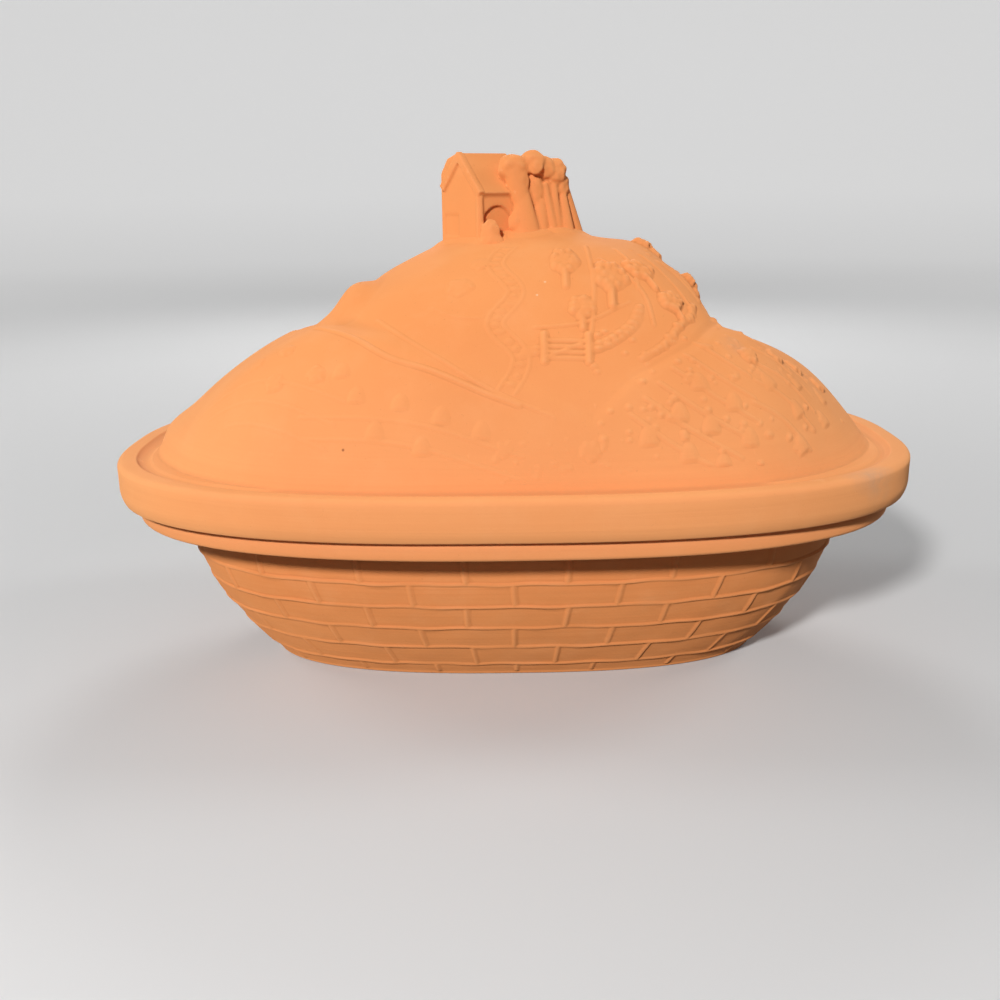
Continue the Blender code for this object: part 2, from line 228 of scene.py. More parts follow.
def oval(angles, inset, share=1.0):
    """Places on the plan's oval at these angles, drawn in by the inset."""
    cosine, sine = np.cos(angles), np.sin(angles)
    reach = (np.abs(cosine) ** OVAL_POWER + np.abs(sine) ** OVAL_POWER) ** (-1 / OVAL_POWER)
    x = (HALF_LENGTH - inset) * cosine * reach * share
    y = (HALF_WIDTH - inset) * sine * reach * share
    return x, y


def level(angles, inset, height, share=1.0):
    """One ring of the oval at this height."""
    x, y = oval(angles, inset, share)
    return np.stack([x, y, np.broadcast_to(height, x.shape)], axis=-1)


def travelled_along(x, y):
    """How far along a line each of its points lies."""
    return np.concatenate([[0.0], np.cumsum(np.hypot(np.diff(x), np.diff(y)))])


def even_angles(shares, inset):
    """Angles at these shares of the way round from the front, and the length of that way."""
    fine = np.linspace(-math.pi / 2, 1.5 * math.pi, 8001)
    travelled = travelled_along(*oval(fine, inset))
    return np.interp(np.asarray(shares) % 1 * travelled[-1], travelled, fine), travelled[-1]


def corner(inset, height, radius, start, end, steps=5):
    """Insets and heights round an arc; its angle is 0 outwards and 90 degrees upwards."""
    angles = np.radians(np.linspace(start, end, steps + 1))
    return [(inset - radius * math.cos(a), height + radius * math.sin(a)) for a in angles]


def select_only(*pieces):
    """Select these pieces alone; the first of them is the active one."""
    bpy.ops.object.select_all(action="DESELECT")
    for piece in pieces:
        piece.select_set(True)
    if pieces:
        bpy.context.view_layer.objects.active = pieces[0]


def edit_all(operator, **settings):
    """Use an edit mode operator on the whole of the active piece."""
    bpy.ops.object.mode_set(mode="EDIT")
    bpy.ops.mesh.select_all(action="SELECT")
    operator(**settings)
    bpy.ops.object.mode_set(mode="OBJECT")


def settle():
    """Move the place, turn and scale of the selected pieces into their meshes."""
    bpy.ops.object.transform_apply(location=True, rotation=True, scale=True)


def grid(name, places, rolled=False):
    """A grid primitive with its points put in these places; a rolled one meets itself."""
    if rolled:
        places = np.concatenate([places, places[:, :1]], axis=1)
    rows, columns = places.shape[:2]
    select_only()
    bpy.ops.mesh.primitive_grid_add(x_subdivisions=columns - 1, y_subdivisions=rows - 1, size=1)
    piece = bpy.context.object
    piece.name = name
    piece.data.name = name
    piece.data.vertices.foreach_set("co", places.reshape(-1).astype(np.float32))
    piece.data.update()
    if rolled:
        edit_all(bpy.ops.mesh.remove_doubles, threshold=1e-6)
    bpy.ops.object.shade_smooth()
    return piece


def wall_inset(height):
    """Inset of the dish wall's face, which leans in ever faster towards the foot."""
    fall = 1.0 - np.clip(height / WALL_HEIGHT, 0.0, 1.0)
    return WALL_TOP_INSET + WALL_LEAN * fall ** WALL_CURVE


def brick_shares():
    """Shares of the way round, crowded where an upright joint may stand."""
    halves = 2 * BRICKS_AROUND
    near = NEAR_UPRIGHT * np.linspace(-1, 1, BRICK_COLUMNS_NEAR + 1)
    between = np.linspace(NEAR_UPRIGHT, 1 - NEAR_UPRIGHT, BRICK_COLUMNS_BETWEEN + 1)[1:-1]
    one = np.concatenate([near, between])
    return np.concatenate([(half + one) / halves for half in range(halves)])


def brick_rise(way, height, around, beds):
    """How far the raised joints stand out at this way round and this height of the wall."""
    draw = np.random.default_rng(11)
    rise = np.zeros(way.shape)
    course = np.zeros(way.shape, int)
    turns = 2 * math.pi * way / around
    for number, bed in enumerate(beds):
        wave = sum(high * np.sin(turns * waves + number * shift) for high, waves, shift in BED_WAVES)
        line = bed + wave * MM
        course[height < line] = number + 1
        # Some stretches of a joint are worn lower than others
        strength = 0.85 + 0.2 * np.sin(turns * 7 + number * 1.7) + 0.12 * np.sin(turns * 23)
        off = height - line
        reach = np.where(off > 0, BED_ABOVE, BED_BELOW)
        ridge = np.clip(1 - (off / reach) ** 2, 0, None) ** 1.3
        rise = np.maximum(rise, JOINT_PROUD * strength * ridge)
    length = around / (2 * BRICKS_AROUND)
    tone = np.zeros(way.shape)
    for number in range(len(beds) + 1):
        inside = course == number
        for half in range(2 * BRICKS_AROUND):
            if (half + number) % 2 == 0:
                continue
            shift, lean, proud, swell = draw.uniform(-1, 1, 4)
            middle = half * length + shift * UPRIGHT_SHIFT
            drift = lean * UPRIGHT_LEAN * (height - WALL_HEIGHT + (number + 0.5) * COURSE_HEIGHT)
            off = way - middle - drift
            off = (off + around / 2) % around - around / 2
            ridge = np.clip(1 - (off / UPRIGHT_HALF_WIDTH) ** 2, 0, None) ** 1.4
            here = inside & (np.abs(off) < UPRIGHT_HALF_WIDTH)
            rise[here] = np.maximum(rise, (0.75 + 0.12 * proud) * JOINT_PROUD * ridge)[here]
            brick = inside & (off > 0) & (off < 2 * length)
            tone[brick] = swell
    return rise, tone


def make_dish():
    """The dish as one shell: foot, brick wall, rim, and down inside to the floor."""
    shares = brick_shares()
    angles, around = even_angles(shares, wall_inset(WALL_HEIGHT / 2))
    way = shares * around
    rings = [level(angles, 0, 0, 0.0), level(angles, wall_inset(0), 0, 0.6)]
    toe = float(wall_inset(FOOT_ROUNDING)) + FOOT_ROUNDING
    rings += [level(angles, *place) for place in corner(toe, FOOT_ROUNDING, FOOT_ROUNDING, -90, 0, 4)]
    beds = [WALL_HEIGHT - (i + 1) * COURSE_HEIGHT for i in range(5)]
    rows = []
    low = FOOT_ROUNDING + 0.4 * MM
    for bed in reversed(beds):
        rows += [*np.linspace(low, bed + BED_ROWS[0], 6)[:-1], *(bed + BED_ROWS)]
        low = bed + BED_ROWS[-1] + 1.2 * MM
    rows += [*np.linspace(low, WALL_HEIGHT, 7)]
    for height in rows:
        rise, tone = brick_rise(way, np.full(way.shape, height), around, beds)
        ring = level(angles, wall_inset(height), height)
        uneven = WALL_UNEVENNESS * lumps(ring, 14 * MM, 4) + WALL_UNEVENNESS * tone
        fade = smoothstep((height - FOOT_ROUNDING) / (3 * MM))
        rings.append(level(angles, wall_inset(height) - rise - uneven * fade, height))
    edge = LID_OVERHANG + RIM_ROUNDING
    band_low = DISH_HEIGHT - RIM_BAND + RIM_ROUNDING
    profile = corner(edge, band_low, RIM_ROUNDING, RIM_UNDERCUT, 0)
    shelf_end = profile[0]
    for share in (0.04, 0.3, 0.6, 0.85):
        inset = WALL_TOP_INSET + (shelf_end[0] - WALL_TOP_INSET) * share
        height = WALL_HEIGHT + (shelf_end[1] - WALL_HEIGHT) * share ** SHELF_BEND
        rings.append(level(angles, inset, height))
    ends = np.abs(oval(angles, 0)[0]) / HALF_LENGTH
    drop = RIM_DROP_AT_ENDS * smoothstep((ends - RIM_DROP_START) / RIM_DROP_RUN)
    band_high = DISH_HEIGHT - RIM_ROUNDING
    profile += [(LID_OVERHANG - 0.12 * MM, (band_low + DISH_HEIGHT - RIM_ROUNDING) / 2)]
    profile += corner(edge, band_high, RIM_ROUNDING, 0, 90)
    profile += [(LID_OVERHANG + 6 * MM, DISH_HEIGHT)]
    mouth = MOUTH_INSET - MOUTH_ROUNDING
    profile += corner(mouth, DISH_HEIGHT - MOUTH_ROUNDING, MOUTH_ROUNDING, 90, 180, 3)
    for inset, height in profile:
        share = smoothstep((height - DISH_HEIGHT + RIM_BAND) / RIM_BAND)
        place = level(angles, inset, height)
        wave = EDGE_UNEVENNESS * lumps(place * (1, 1, 0.2), 90 * MM, 8)
        rings.append(level(angles, inset + np.maximum(wave, -0.1 * MM), height - drop * share))
    for share in (0.93, MOUTH_BEND, 0.76, 0.64, 0.5, 0.36, 0.24, 0.16):
        height = WALL_HEIGHT * share
        rings.append(level(angles, wall_inset(height) + DISH_WALL, height))
    floor = DISH_WALL
    for share in (1.0, 0.97, 0.8, 0.5, 0.2, 0.0):
        inset = wall_inset(floor) + DISH_WALL + FOOT_ROUNDING * 3
        rings.append(level(angles, inset, floor + (FLOOR_FILLET if share == 1.0 else 0), share))
    return grid("dish_body", np.stack(rings), rolled=True)


def brow(share, shape):
    """A hill's profile: 1 in the middle and 0 at its edge; shape says how full and how steep."""
    full, steep = shape
    return (1 - np.minimum(share, 1) ** full) ** steep


def hillside(x, y):
    """Height of the plain hillside above the gutter: two shoulders and a steeper summit."""
    across = np.minimum(np.abs(x) / (HALF_LENGTH - HILL_INSET), 1)
    along = np.abs(y) / (HALF_WIDTH - HILL_INSET)
    front = smoothstep((-y - FORE_START) / FORE_WIDTH)
    front = front * (1 - smoothstep((np.abs(x) - FORE_END) / FORE_END_WIDTH))
    power = HILL_POWER + (OVAL_POWER - HILL_POWER) * front
    reach = (across ** power + along ** power) ** (1 / power)
    full, steep = (low + (high - low) * front for low, high in zip(SHOULDER_BROW, FORE_BROW))
    shoulder = SHOULDER_HEIGHT * brow(reach, (full, steep))
    edge = np.maximum(1 - across ** OVAL_POWER, 1e-6) ** (1 / OVAL_POWER)
    aside = x - SUMMIT_OFFSET
    left = brow(np.abs(aside) / SUMMIT_LEFT_LENGTH, SUMMIT_LEFT_BROW)
    right = brow(np.abs(aside) / SUMMIT_RIGHT_LENGTH, SUMMIT_RIGHT_BROW)
    summit = (SUMMIT_HEIGHT + SUMMIT_TILT * x) * np.where(aside < 0, left, right)
    summit = summit * brow(along / edge, SUMMIT_FALL)
    mix = np.clip(0.5 + 0.5 * (summit - shoulder) / VALLEY_BLEND, 0, 1)
    return shoulder * (1 - mix) + summit * mix + VALLEY_BLEND * mix * (1 - mix)


def smooth_line(points, count=60):
    """A smooth line through a few points, as evenly counted places along it."""
    points = np.array(points, float)
    points = np.concatenate([[2 * points[0] - points[1]], points, [2 * points[-1] - points[-2]]])
    spans = len(points) - 3
    places = []
    for t in np.linspace(0, spans, count):
        i = min(int(t), spans - 1)
        t -= i
        a, b, c, d = points[i:i + 4]
        bend = (-a + c) * t + (2 * a - 5 * b + 4 * c - d) * t * t
        places.append(0.5 * (2 * b + bend + (-a + 3 * b - 3 * c + d) * t ** 3))
    return np.array(places)


def away_from(x, y, line):
    """Distance to a line, which is below 0 on its left-hand side, and the share of its length."""
    nearest = np.full(np.shape(x), 1e9)
    share = np.zeros(np.shape(x))
    for i, (start, end) in enumerate(zip(line, line[1:])):
        run = end - start
        t = ((x - start[0]) * run[0] + (y - start[1]) * run[1]) / (run @ run)
        t = np.clip(t, 0, 1)
        dx, dy = x - start[0] - run[0] * t, y - start[1] - run[1] * t
        away = np.hypot(dx, dy)
        closer = away < np.abs(nearest)
        side = np.where(dx * run[1] - dy * run[0] < 0, -1.0, 1.0)
        nearest = np.where(closer, away * side, nearest)
        share = np.where(closer, (i + t) / (len(line) - 1), share)
    return nearest, share


def crest(x, y, points, back):
    """Rise of a fore hill: it climbs to its crest from behind and dies away in front."""
    beyond, share = away_from(x / MM, y / MM, smooth_line(points, 40))
    beyond = beyond * MM
    climb = smoothstep(1 + beyond / (CREST_BACK * (back[0] + (back[1] - back[0]) * share)))
    return climb * (1 - smoothstep(beyond / CREST_REACH)) ** 1.3


def cottage_frame():
    """The cottage's own axes: X along its front gable, Y along its ridge, Z up, on its middle."""
    gable_way = Vector((math.sin(COTTAGE_TURN), -math.cos(COTTAGE_TURN), 0))
    ridge_way = Vector((math.cos(COTTAGE_TURN), math.sin(COTTAGE_TURN), 0))
    middle = COTTAGE_CORNER - gable_way * COTTAGE_GABLE / 2 + ridge_way * COTTAGE_DEPTH / 2
    middle.z = SUMMIT
    turn = Matrix((gable_way, ridge_way, (0, 0, 1))).transposed().to_4x4()
    return Matrix.Translation(middle) @ turn


def knob_swell(x, y):
    """A soft rise of the clay round the foot of the cottage and the trees."""
    place = cottage_frame()
    aside, along = place.col[0], place.col[1]
    dx, dy = x - place.translation.x, y - place.translation.y
    u = np.abs(dx * aside[0] + dy * aside[1]) - COTTAGE_GABLE / 2
    v = np.abs(dx * along[0] + dy * along[1]) - COTTAGE_DEPTH / 2
    away = np.hypot(np.maximum(u, 0), np.maximum(v, 0))
    for foot_x, foot_y, radius in TREE_FEET:
        away = np.minimum(away, np.maximum(np.hypot(x - foot_x, y - foot_y) - radius, 0))
    return KNOB_SWELL * (1 - smoothstep(away / KNOB_SWELL_REACH))


def hill_height(x, y):
    """Height of the finished hillside."""
    base = hillside(x, y)
    left, right = crest(x, y, LEFT_CREST, (1.6, 0.4)), crest(x, y, RIGHT_CREST, (0.5, 0.7))
    rise = CREST_HEIGHT * np.maximum(left, right) * smoothstep(base / SHOULDER_HEIGHT * 2)
    away = np.hypot((x - KNOLL[0]) / (KNOLL_LENGTH / 2), (y - KNOLL[1]) / (KNOLL_WIDTH / 2))
    rise = rise + KNOLL_HEIGHT * smoothstep(1 - away)
    for px, py, height, reach_x, reach_y in SWELLS:
        off = ((x / MM - px) / reach_x) ** 2 + ((y / MM - py) / reach_y) ** 2
        rise = rise + height * MM * np.exp(-off) * smoothstep(base / (8 * MM))
    place = np.stack([x, y], axis=-1)
    uneven = HILL_UNEVENNESS * lumps(place, 34 * MM, 21) * smoothstep(base / (12 * MM))
    return GUTTER_LEVEL + base + rise + uneven + knob_swell(x, y)


def hill_normals(x, y, step=0.8 * MM):
    """Directions square to the hillside."""
    slope_x = (hill_height(x + step, y) - hill_height(x - step, y)) / (2 * step)
    slope_y = (hill_height(x, y + step) - hill_height(x, y - step)) / (2 * step)
    normals = np.stack([-slope_x, -slope_y, np.ones(x.shape)], axis=-1)
    return normals / np.linalg.norm(normals, axis=-1, keepdims=True)


def hill_shares():
    """Shares that lay the rings evenly up the front slope, from the gutter to the summit."""
    y = -np.linspace(HALF_WIDTH - HILL_INSET, 0, 2000)
    travelled = travelled_along(y, hill_height(np.zeros(y.shape), y))
    wanted = np.linspace(0, travelled[-1], HILL_RINGS + 1)
    return -np.interp(wanted, travelled, y) / (HALF_WIDTH - HILL_INSET)


def make_lid():
    """The lid as one shell: underside, seat ring, flange, lip, gutter and hillside."""
    angles, _ = even_angles(np.arange(LID_COLUMNS) / LID_COLUMNS, HILL_INSET)
    bend = MOUTH_BEND * WALL_HEIGHT
    slope = (float(wall_inset(bend)) + DISH_WALL - MOUTH_INSET) / (DISH_HEIGHT - bend)
    ring_outer = MOUTH_INSET + slope * (RING_DEPTH - 0.3 * MM) + RING_CLEARANCE
    ring_inner = ring_outer + RING_WIDTH
    ring_bottom = LID_SEAT - RING_DEPTH
    outward = 1 + LID_WALL / HALF_LENGTH
    rings = []
    for share in np.sin(0.5 * math.pi * np.linspace(0, 1, 25)):
        ring = level(angles, ring_inner, 0.0, share)
        inner = hillside(ring[:, 0] * outward, ring[:, 1] * outward)
        ring[:, 2] = GUTTER_LEVEL - LID_WALL + inner
        rings.append(ring)
    ring_edge = ring_bottom + RING_ROUNDING
    profile = corner(ring_inner - RING_ROUNDING, ring_edge, RING_ROUNDING, 180, 270, 3)
    profile += corner(ring_outer + RING_ROUNDING, ring_edge, RING_ROUNDING, 270, 360, 3)
    tilt = math.radians(FLANGE_TILT)
    reach = FLANGE_SWELL - SEAT_ROUNDING
    edge_inset = FLANGE_SWELL - reach * math.cos(tilt)
    edge_height = LID_SEAT + SEAT_ROUNDING
    swell_height = edge_height + reach * math.sin(tilt)
    profile += [(ring_outer, LID_SEAT), (edge_inset + 3 * MM, LID_SEAT)]
    profile += corner(edge_inset, edge_height, SEAT_ROUNDING, -90, -FLANGE_TILT, 4)
    profile += corner(FLANGE_SWELL, swell_height, FLANGE_SWELL, -FLANGE_TILT, 0, 5)[1:]
    lip_shoulder = LIP_TOP - LIP_ROUNDING
    profile += [(0.05 * MM, swell_height + 2 * MM), (0.05 * MM, lip_shoulder - 2 * MM)]
    profile += corner(LIP_ROUNDING, lip_shoulder, LIP_ROUNDING, 0, 90, 6)
    inner_edge = LIP_WIDTH - 0.9 * MM
    profile += [((LIP_ROUNDING + inner_edge) / 2, LIP_TOP + 0.1 * MM)]
    profile += corner(inner_edge, LIP_TOP - LIP_INNER_ROUNDING, LIP_INNER_ROUNDING, 90, 150, 4)
    low = LIP_WIDTH + GUTTER_DEPTH
    profile += [(low - 0.3 * MM, GUTTER_LEVEL + 0.45 * MM), (low + 0.6 * MM, GUTTER_LEVEL)]
    profile += [(low + 0.6 * GUTTER_WIDTH, GUTTER_LEVEL)]
    for inset, height in profile:
        ring = level(angles, inset, height)
        wave = EDGE_UNEVENNESS * lumps(ring * (1, 1, 0.3), 80 * MM, 5)
        outer = 1 - smoothstep((inset - LIP_WIDTH) / (4 * MM))
        ring = level(angles, inset + np.maximum(wave, 0) * outer, height)
        drop = np.clip((lip_shoulder - height) / (FLANGE_HEIGHT - LIP_ROUNDING), 0, 1)
        ring[:, 1] *= 1 - FLANGE_DRAW_IN / HALF_WIDTH * drop ** 1.4 * outer
        rings.append(ring)
    for share in hill_shares():
        ring = level(angles, HILL_INSET, 0.0, share)
        ring[:, 2] = hill_height(ring[:, 0], ring[:, 1])
        rings.append(ring)
    return grid("lid_hillside", np.stack(rings), rolled=True)


def block(name, low, high):
    """A block between two corners."""
    select_only()
    low, high = Vector(low), Vector(high)
    bpy.ops.mesh.primitive_cube_add(size=1, location=(low + high) / 2)
    piece = bpy.context.object
    piece.name = name
    piece.scale = high - low
    settle()
    return piece


def cut_away(piece, point, normal):
    """Cut away what lies beyond a plane, and close the cut."""
    select_only(piece)
    edit_all(bpy.ops.mesh.bisect, plane_co=point, plane_no=normal, use_fill=True, clear_outer=True)


def apply_modifier(piece, kind, **settings):
    """Give a piece one modifier and apply it."""
    bpy.context.view_layer.objects.active = piece
    modifier = piece.modifiers.new(kind.lower(), kind)
    for name, value in settings.items():
        setattr(modifier, name, value)
    bpy.ops.object.modifier_apply(modifier=modifier.name)


def combine(piece, other, operation="DIFFERENCE"):
    """Take another shape out of a piece, or unite the two, and clear the other away."""
    apply_modifier(piece, "BOOLEAN", operation=operation, solver="EXACT", object=other)
    bpy.data.objects.remove(other)


def join_pieces(name, pieces):
    """Join pieces into one mesh."""
    select_only(*pieces)
    bpy.ops.object.join()
    joined = bpy.context.object
    joined.name = name
    joined.data.name = name
    return joined


def arch_cutter(middle, wall, half_width, top, depth):
    """A round-headed opening, to take out of a wall that faces +X."""
    spring = top - half_width
    low = (wall - depth, middle - half_width, -KNOB_ROOT)
    body = block("opening", low, (wall + 2 * MM, middle + half_width, spring))
    bpy.ops.mesh.primitive_cylinder_add(
        vertices=32,
        radius=half_width,
        depth=depth + 2 * MM,
        location=(wall + MM - depth / 2, middle, spring),
        rotation=(0, math.pi / 2, 0),
    )
    head = bpy.context.object
    settle()
    combine(body, head, "UNION")
    return body


def limb(start, end, start_radius, end_radius):
    """A tapered round stem between two points."""
    start, end = Vector(start) * MM, Vector(end) * MM
    select_only()
    bpy.ops.mesh.primitive_cone_add(
        vertices=24,
        radius1=start_radius * MM,
        radius2=end_radius * MM,
        depth=(end - start).length,
        location=(start + end) / 2,
        rotation=(end - start).to_track_quat("Z", "Y").to_euler(),
    )
    stem = bpy.context.object
    settle()
    return stem


def tuft(middle, radii, seed):
    """A round mass of leaves, lumpy all over."""
    select_only()
    bpy.ops.mesh.primitive_ico_sphere_add(subdivisions=5, radius=1)
    mass = bpy.context.object
    points = np.array([vertex.co for vertex in mass.data.vertices])
    swell = 1 + 0.07 * lumps(points, 0.85, seed)
    points = points * swell[:, None] * np.array(radii) * MM + np.array(middle) * MM
    mass.data.vertices.foreach_set("co", points.reshape(-1).astype(np.float32))
    return mass


def make_cottage():
    """Walls with a doorway, a steep roof with broad verges, and a chimney, on their own axes."""
    half, end = COTTAGE_GABLE / 2, COTTAGE_DEPTH / 2
    pitch = (COTTAGE_RIDGE - COTTAGE_EAVES) / half
    walls = block("walls", (-half, -end, -KNOB_ROOT), (half, end, COTTAGE_RIDGE))
    for side in (-1, 1):
        cut_away(walls, (side * half, 0, COTTAGE_EAVES - ROOF_THICKNESS), (side * pitch, 0, 1))
    combine(walls, arch_cutter(-2.2 * MM, half, half_width=8.4 * MM, top=11.8 * MM, depth=1.6 * MM))
    combine(walls, block("door", (-12 * MM, -end - MM, -MM), (-MM, -end + 0.5 * MM, 8.5 * MM)))
    pieces = [walls]
    verge = end + GABLE_OVERHANG
    for side, overhang in EAVES_OVERHANGS:
        run = math.hypot(1, pitch) * (half + overhang)
        slab = block("roof", (0, -verge, -ROOF_THICKNESS), (run, verge, 0))
        raised = block("verge", (0, -verge, -VERGE_DEPTH), (run, -verge + VERGE_WIDTH, VERGE_PROUD))
        for board in (slab, raised):
            board.rotation_euler = (0, math.atan(pitch), 0 if side > 0 else math.pi)
            if side < 0:
                board.scale.y = -1
            board.location = (0, 0, COTTAGE_RIDGE)
            pieces.append(board)
    stack_left = -half - 2 * CHIMNEY_PROUD
    stack_low = (stack_left, -end + MM, -KNOB_ROOT)
    stack_high = (stack_left + 1.5 * CHIMNEY, -end + CHIMNEY_SETBACK + CHIMNEY, COTTAGE_RIDGE)
    chimney = block("chimney", stack_low, stack_high)
    cut_away(chimney, (stack_left, 0, CHIMNEY_HEIGHT - 5.5 * MM), (-0.78, 0, 0.62))
    cut_away(chimney, (stack_left + 5 * MM, 0, CHIMNEY_HEIGHT + 0.6 * MM), (-0.3, 0, 0.95))
    pieces.append(chimney)
    post_x, post_y = half / MM, -end / MM
    post_foot = (post_x - 0.6, post_y + 0.6, -3)
    pieces.append(limb(post_foot, (post_x - 0.4, post_y + 0.4, 15.5), 1.9, 1.5))
    select_only(*pieces)
    settle()
    cottage = join_pieces("cottage", pieces)
    edit_all(bpy.ops.mesh.normals_make_consistent, inside=False)
    cottage.matrix_world = cottage_frame()
    settle()
    return cottage


def make_trees():
    """A clump of old trees: crowns that have grown together on stems that spread at the root."""
    top = SUMMIT / MM
    # Each mass of leaves: its middle and its radii
    leaves = (
        ((1.7, -8.0, 27.4), (7.0, 5.6, 5.4)),
        ((4.2, -8.8, 22.0), (4.0, 3.9, 6.0)),
        ((9.8, -5.2, 19.0), (4.4, 3.2, 8.0)),
        ((9.6, -6.6, 29.3), (5.9, 5.2, 4.9)),
        ((11.2, -10.4, 27.4), (2.8, 2.2, 3.2)),
        ((14.8, -4.0, 27.0), (4.8, 4.6, 4.8)),
        ((19.4, -0.8, 25.4), (5.1, 5.4, 5.8)),
        ((21.6, 2.0, 19.4), (4.2, 4.8, 5.8)),
        ((12.0, 3.0, 24.0), (8.4, 6.0, 7.5)),
        ((11.5, -0.6, 13.0), (6.5, 4.4, 14.0)),
        ((3.8, -10.6, 5.0), (4.6, 3.4, 5.6)),
        ((-8.4, -19.4, 0.0), (3.9, 3.2, 6.8)),
        ((-8.2, -20.0, -3.4), (5.4, 3.6, 4.0)),
    )
    # Each stem: its two ends, and its radius at each
    stems = (
        ((2.0, -8.2, 26.5), (5.2, -8.8, 12), 5.2, 3.4),
        ((5.2, -8.8, 17), (7.0, -9.0, -5), 3.0, 7.6),
        ((12.4, -4.4, 14), (12.6, -6.6, -5), 2.8, 4.8),
        ((14.6, -4.6, 21), (19.4, -5.8, -5), 1.5, 2.4),
        ((18.4, -2.6, 22), (21.0, -4.0, -5), 1.7, 2.5),
        ((15.5, 0.5, 22), (16.0, 0.5, -5), 5.0, 5.6),
        ((22.6, -0.4, 19), (24.6, -1.4, -5), 1.2, 4.7),
        ((21.8, 4.0, 20), (28.2, 6.4, -5), 3.6, 5.4),
    )
    pieces = [tuft((x, y, top + z), radii, number)
              for number, ((x, y, z), radii) in enumerate(leaves)]
    for start, end, *radii in stems:
        low, high = Vector(start), Vector(end)
        low.z += top
        high.z += top
        pieces.append(limb(low, high, *radii))
    return join_pieces("trees", pieces)


def make_knob():
    """The cottage and its trees, moulded in one with softly worn edges."""
    knob = join_pieces("knob", [make_cottage(), make_trees()])
    apply_modifier(knob, "REMESH", mode="VOXEL", voxel_size=KNOB_STEP)
    apply_modifier(knob, "SMOOTH", factor=0.5, iterations=KNOB_WEAR)
    bpy.ops.object.shade_smooth()
    return knob


def mound(u, v, at, size, height, fullness=2.2):
    """A rounded lump; at is its middle and size its length and width."""
    away = np.hypot((u - at[0]) / (size[0] / 2), (v - at[1]) / (size[1] / 2))
    return height * np.clip(1 - away ** fullness, 0, 1) ** 0.65


def bead(u, v, points, width, height, smooth=True):
    """A rounded bead along a line."""
    line = smooth_line(points, 7 * len(points)) if smooth else np.array(points, float)
    away, _ = away_from(u, v, line)
    return height * smoothstep(1.5 * (1 - np.abs(away) / (width / 2)))


def bush(u, v, at, size, height, seed):
    """A round bush: a low mound covered with clumps of leaves."""
    draw = np.random.default_rng(seed)
    rise = mound(u, v, at, (size, 0.86 * size), 0.75 * height)
    for i in range(CLUMPS_OF_LEAVES):
        reach = 0.4 * size * math.sqrt((i + 0.5) / CLUMPS_OF_LEAVES)
        x = at[0] + reach * math.cos(2.4 * i) * 1.05 + draw.uniform(-0.4, 0.4)
        y = at[1] + reach * math.sin(2.4 * i) * 0.9 + draw.uniform(-0.4, 0.4)
        clump = size * draw.uniform(0.22, 0.32)
        rise = np.maximum(rise, mound(u, v, (x, y), (clump, clump), height * draw.uniform(0.8, 1.15)))
    return rise


def bushes(u, v, seed, places):
    """Bushes, each with its place, size and height."""
    return np.maximum.reduce([
        bush(u, v, (x, y), size, height, seed + number)
        for number, (x, y, size, height) in enumerate(places)
    ])


def orchard_tree(u, v, at, size, height, seed, tall=1.0):
    """A fruit tree: a round leafy crown on a short stout trunk."""
    v = at[1] + (v - at[1]) / tall
    crown = bush(u, v, (at[0], at[1] + 0.14 * size), size, height, seed)
    trunk = ((at[0], at[1] - 0.62 * size), (at[0], at[1]))
    return np.maximum(crown, bead(u, v, trunk, 0.26 * size, 0.8 * height, smooth=False))


def haycock(u, v, at, size, height):
    """A heap of hay, broad at its foot and round at its head."""
    x, y = (u - at[0]) / size, (v - at[1]) / size + 0.5
    half = 0.5 * np.sqrt(np.clip(1 - np.clip(y, 0, 1) ** 1.8, 1e-4, 1))
    dome = np.clip(1 - (x / half) ** 2, 0, 1) ** 0.6 * (2 * half) ** 0.7
    straw = 0.92 + 0.1 * np.sin(x * 26 + 3 * np.sin(y * 5))
    return height * dome * straw * smoothstep(5 * y) * (y < 1)


def haycocks(u, v, size, height, places):
    """Haycocks of one size at several places."""
    return np.maximum.reduce([haycock(u, v, at, size, height) for at in places])


def clods(u, v, seed, count, size, height):
    """Small loose lumps of earth, scattered over the whole field."""
    draw = np.random.default_rng(seed)
    rise = np.zeros(u.shape)
    for _ in range(count):
        place = (draw.uniform(u.min(), u.max()), draw.uniform(v.min(), v.max()))
        lump = size * draw.uniform(0.7, 1.3)
        rise = np.maximum(rise, mound(u, v, place, (lump, 0.8 * lump), height * draw.uniform(0.6, 1.1)))
    return rise


def stone_wall(u, v, points, stone, height, seed):
    """A dry-stone wall: two rows of loose stones on a low bed."""
    draw = np.random.default_rng(seed)
    line = smooth_line(points, 12 * len(points))
    rise = 0.45 * height * smoothstep(1.6 * (1 - np.abs(away_from(u, v, line)[0]) / (1.05 * stone)))
    lengths = travelled_along(*line.T)
    for row in (-0.45, 0.45):
        travelled = draw.uniform(0, stone)
        while travelled < lengths[-1]:
            long = stone * draw.uniform(0.9, 1.5)
            place = [np.interp(travelled + long / 2, lengths, line[:, k]) for k in (0, 1)]
            place[1] += row * stone
            size = (0.92 * long, stone * draw.uniform(0.75, 0.95))
            rise = np.maximum(rise, mound(u, v, place, size, height * draw.uniform(0.75, 1.1), 3.5))
            travelled += long
    return rise


def hedge(u, v, points, size, height, seed):
    """A clipped hedge: a row of close leafy clumps."""
    draw = np.random.default_rng(seed)
    line = smooth_line(points, 12 * len(points))
    rise = bead(u, v, points, 0.8 * size, 0.6 * height)
    lengths = travelled_along(*line.T)
    for travelled in np.arange(0, lengths[-1], 0.42 * size):
        place = [np.interp(travelled, lengths, line[:, k]) + draw.uniform(-0.2, 0.2) * size
                 for k in (0, 1)]
        clump = size * draw.uniform(0.5, 0.75)
        rise = np.maximum(rise, mound(u, v, place, (clump, clump), height * draw.uniform(0.7, 1.1)))
    return rise


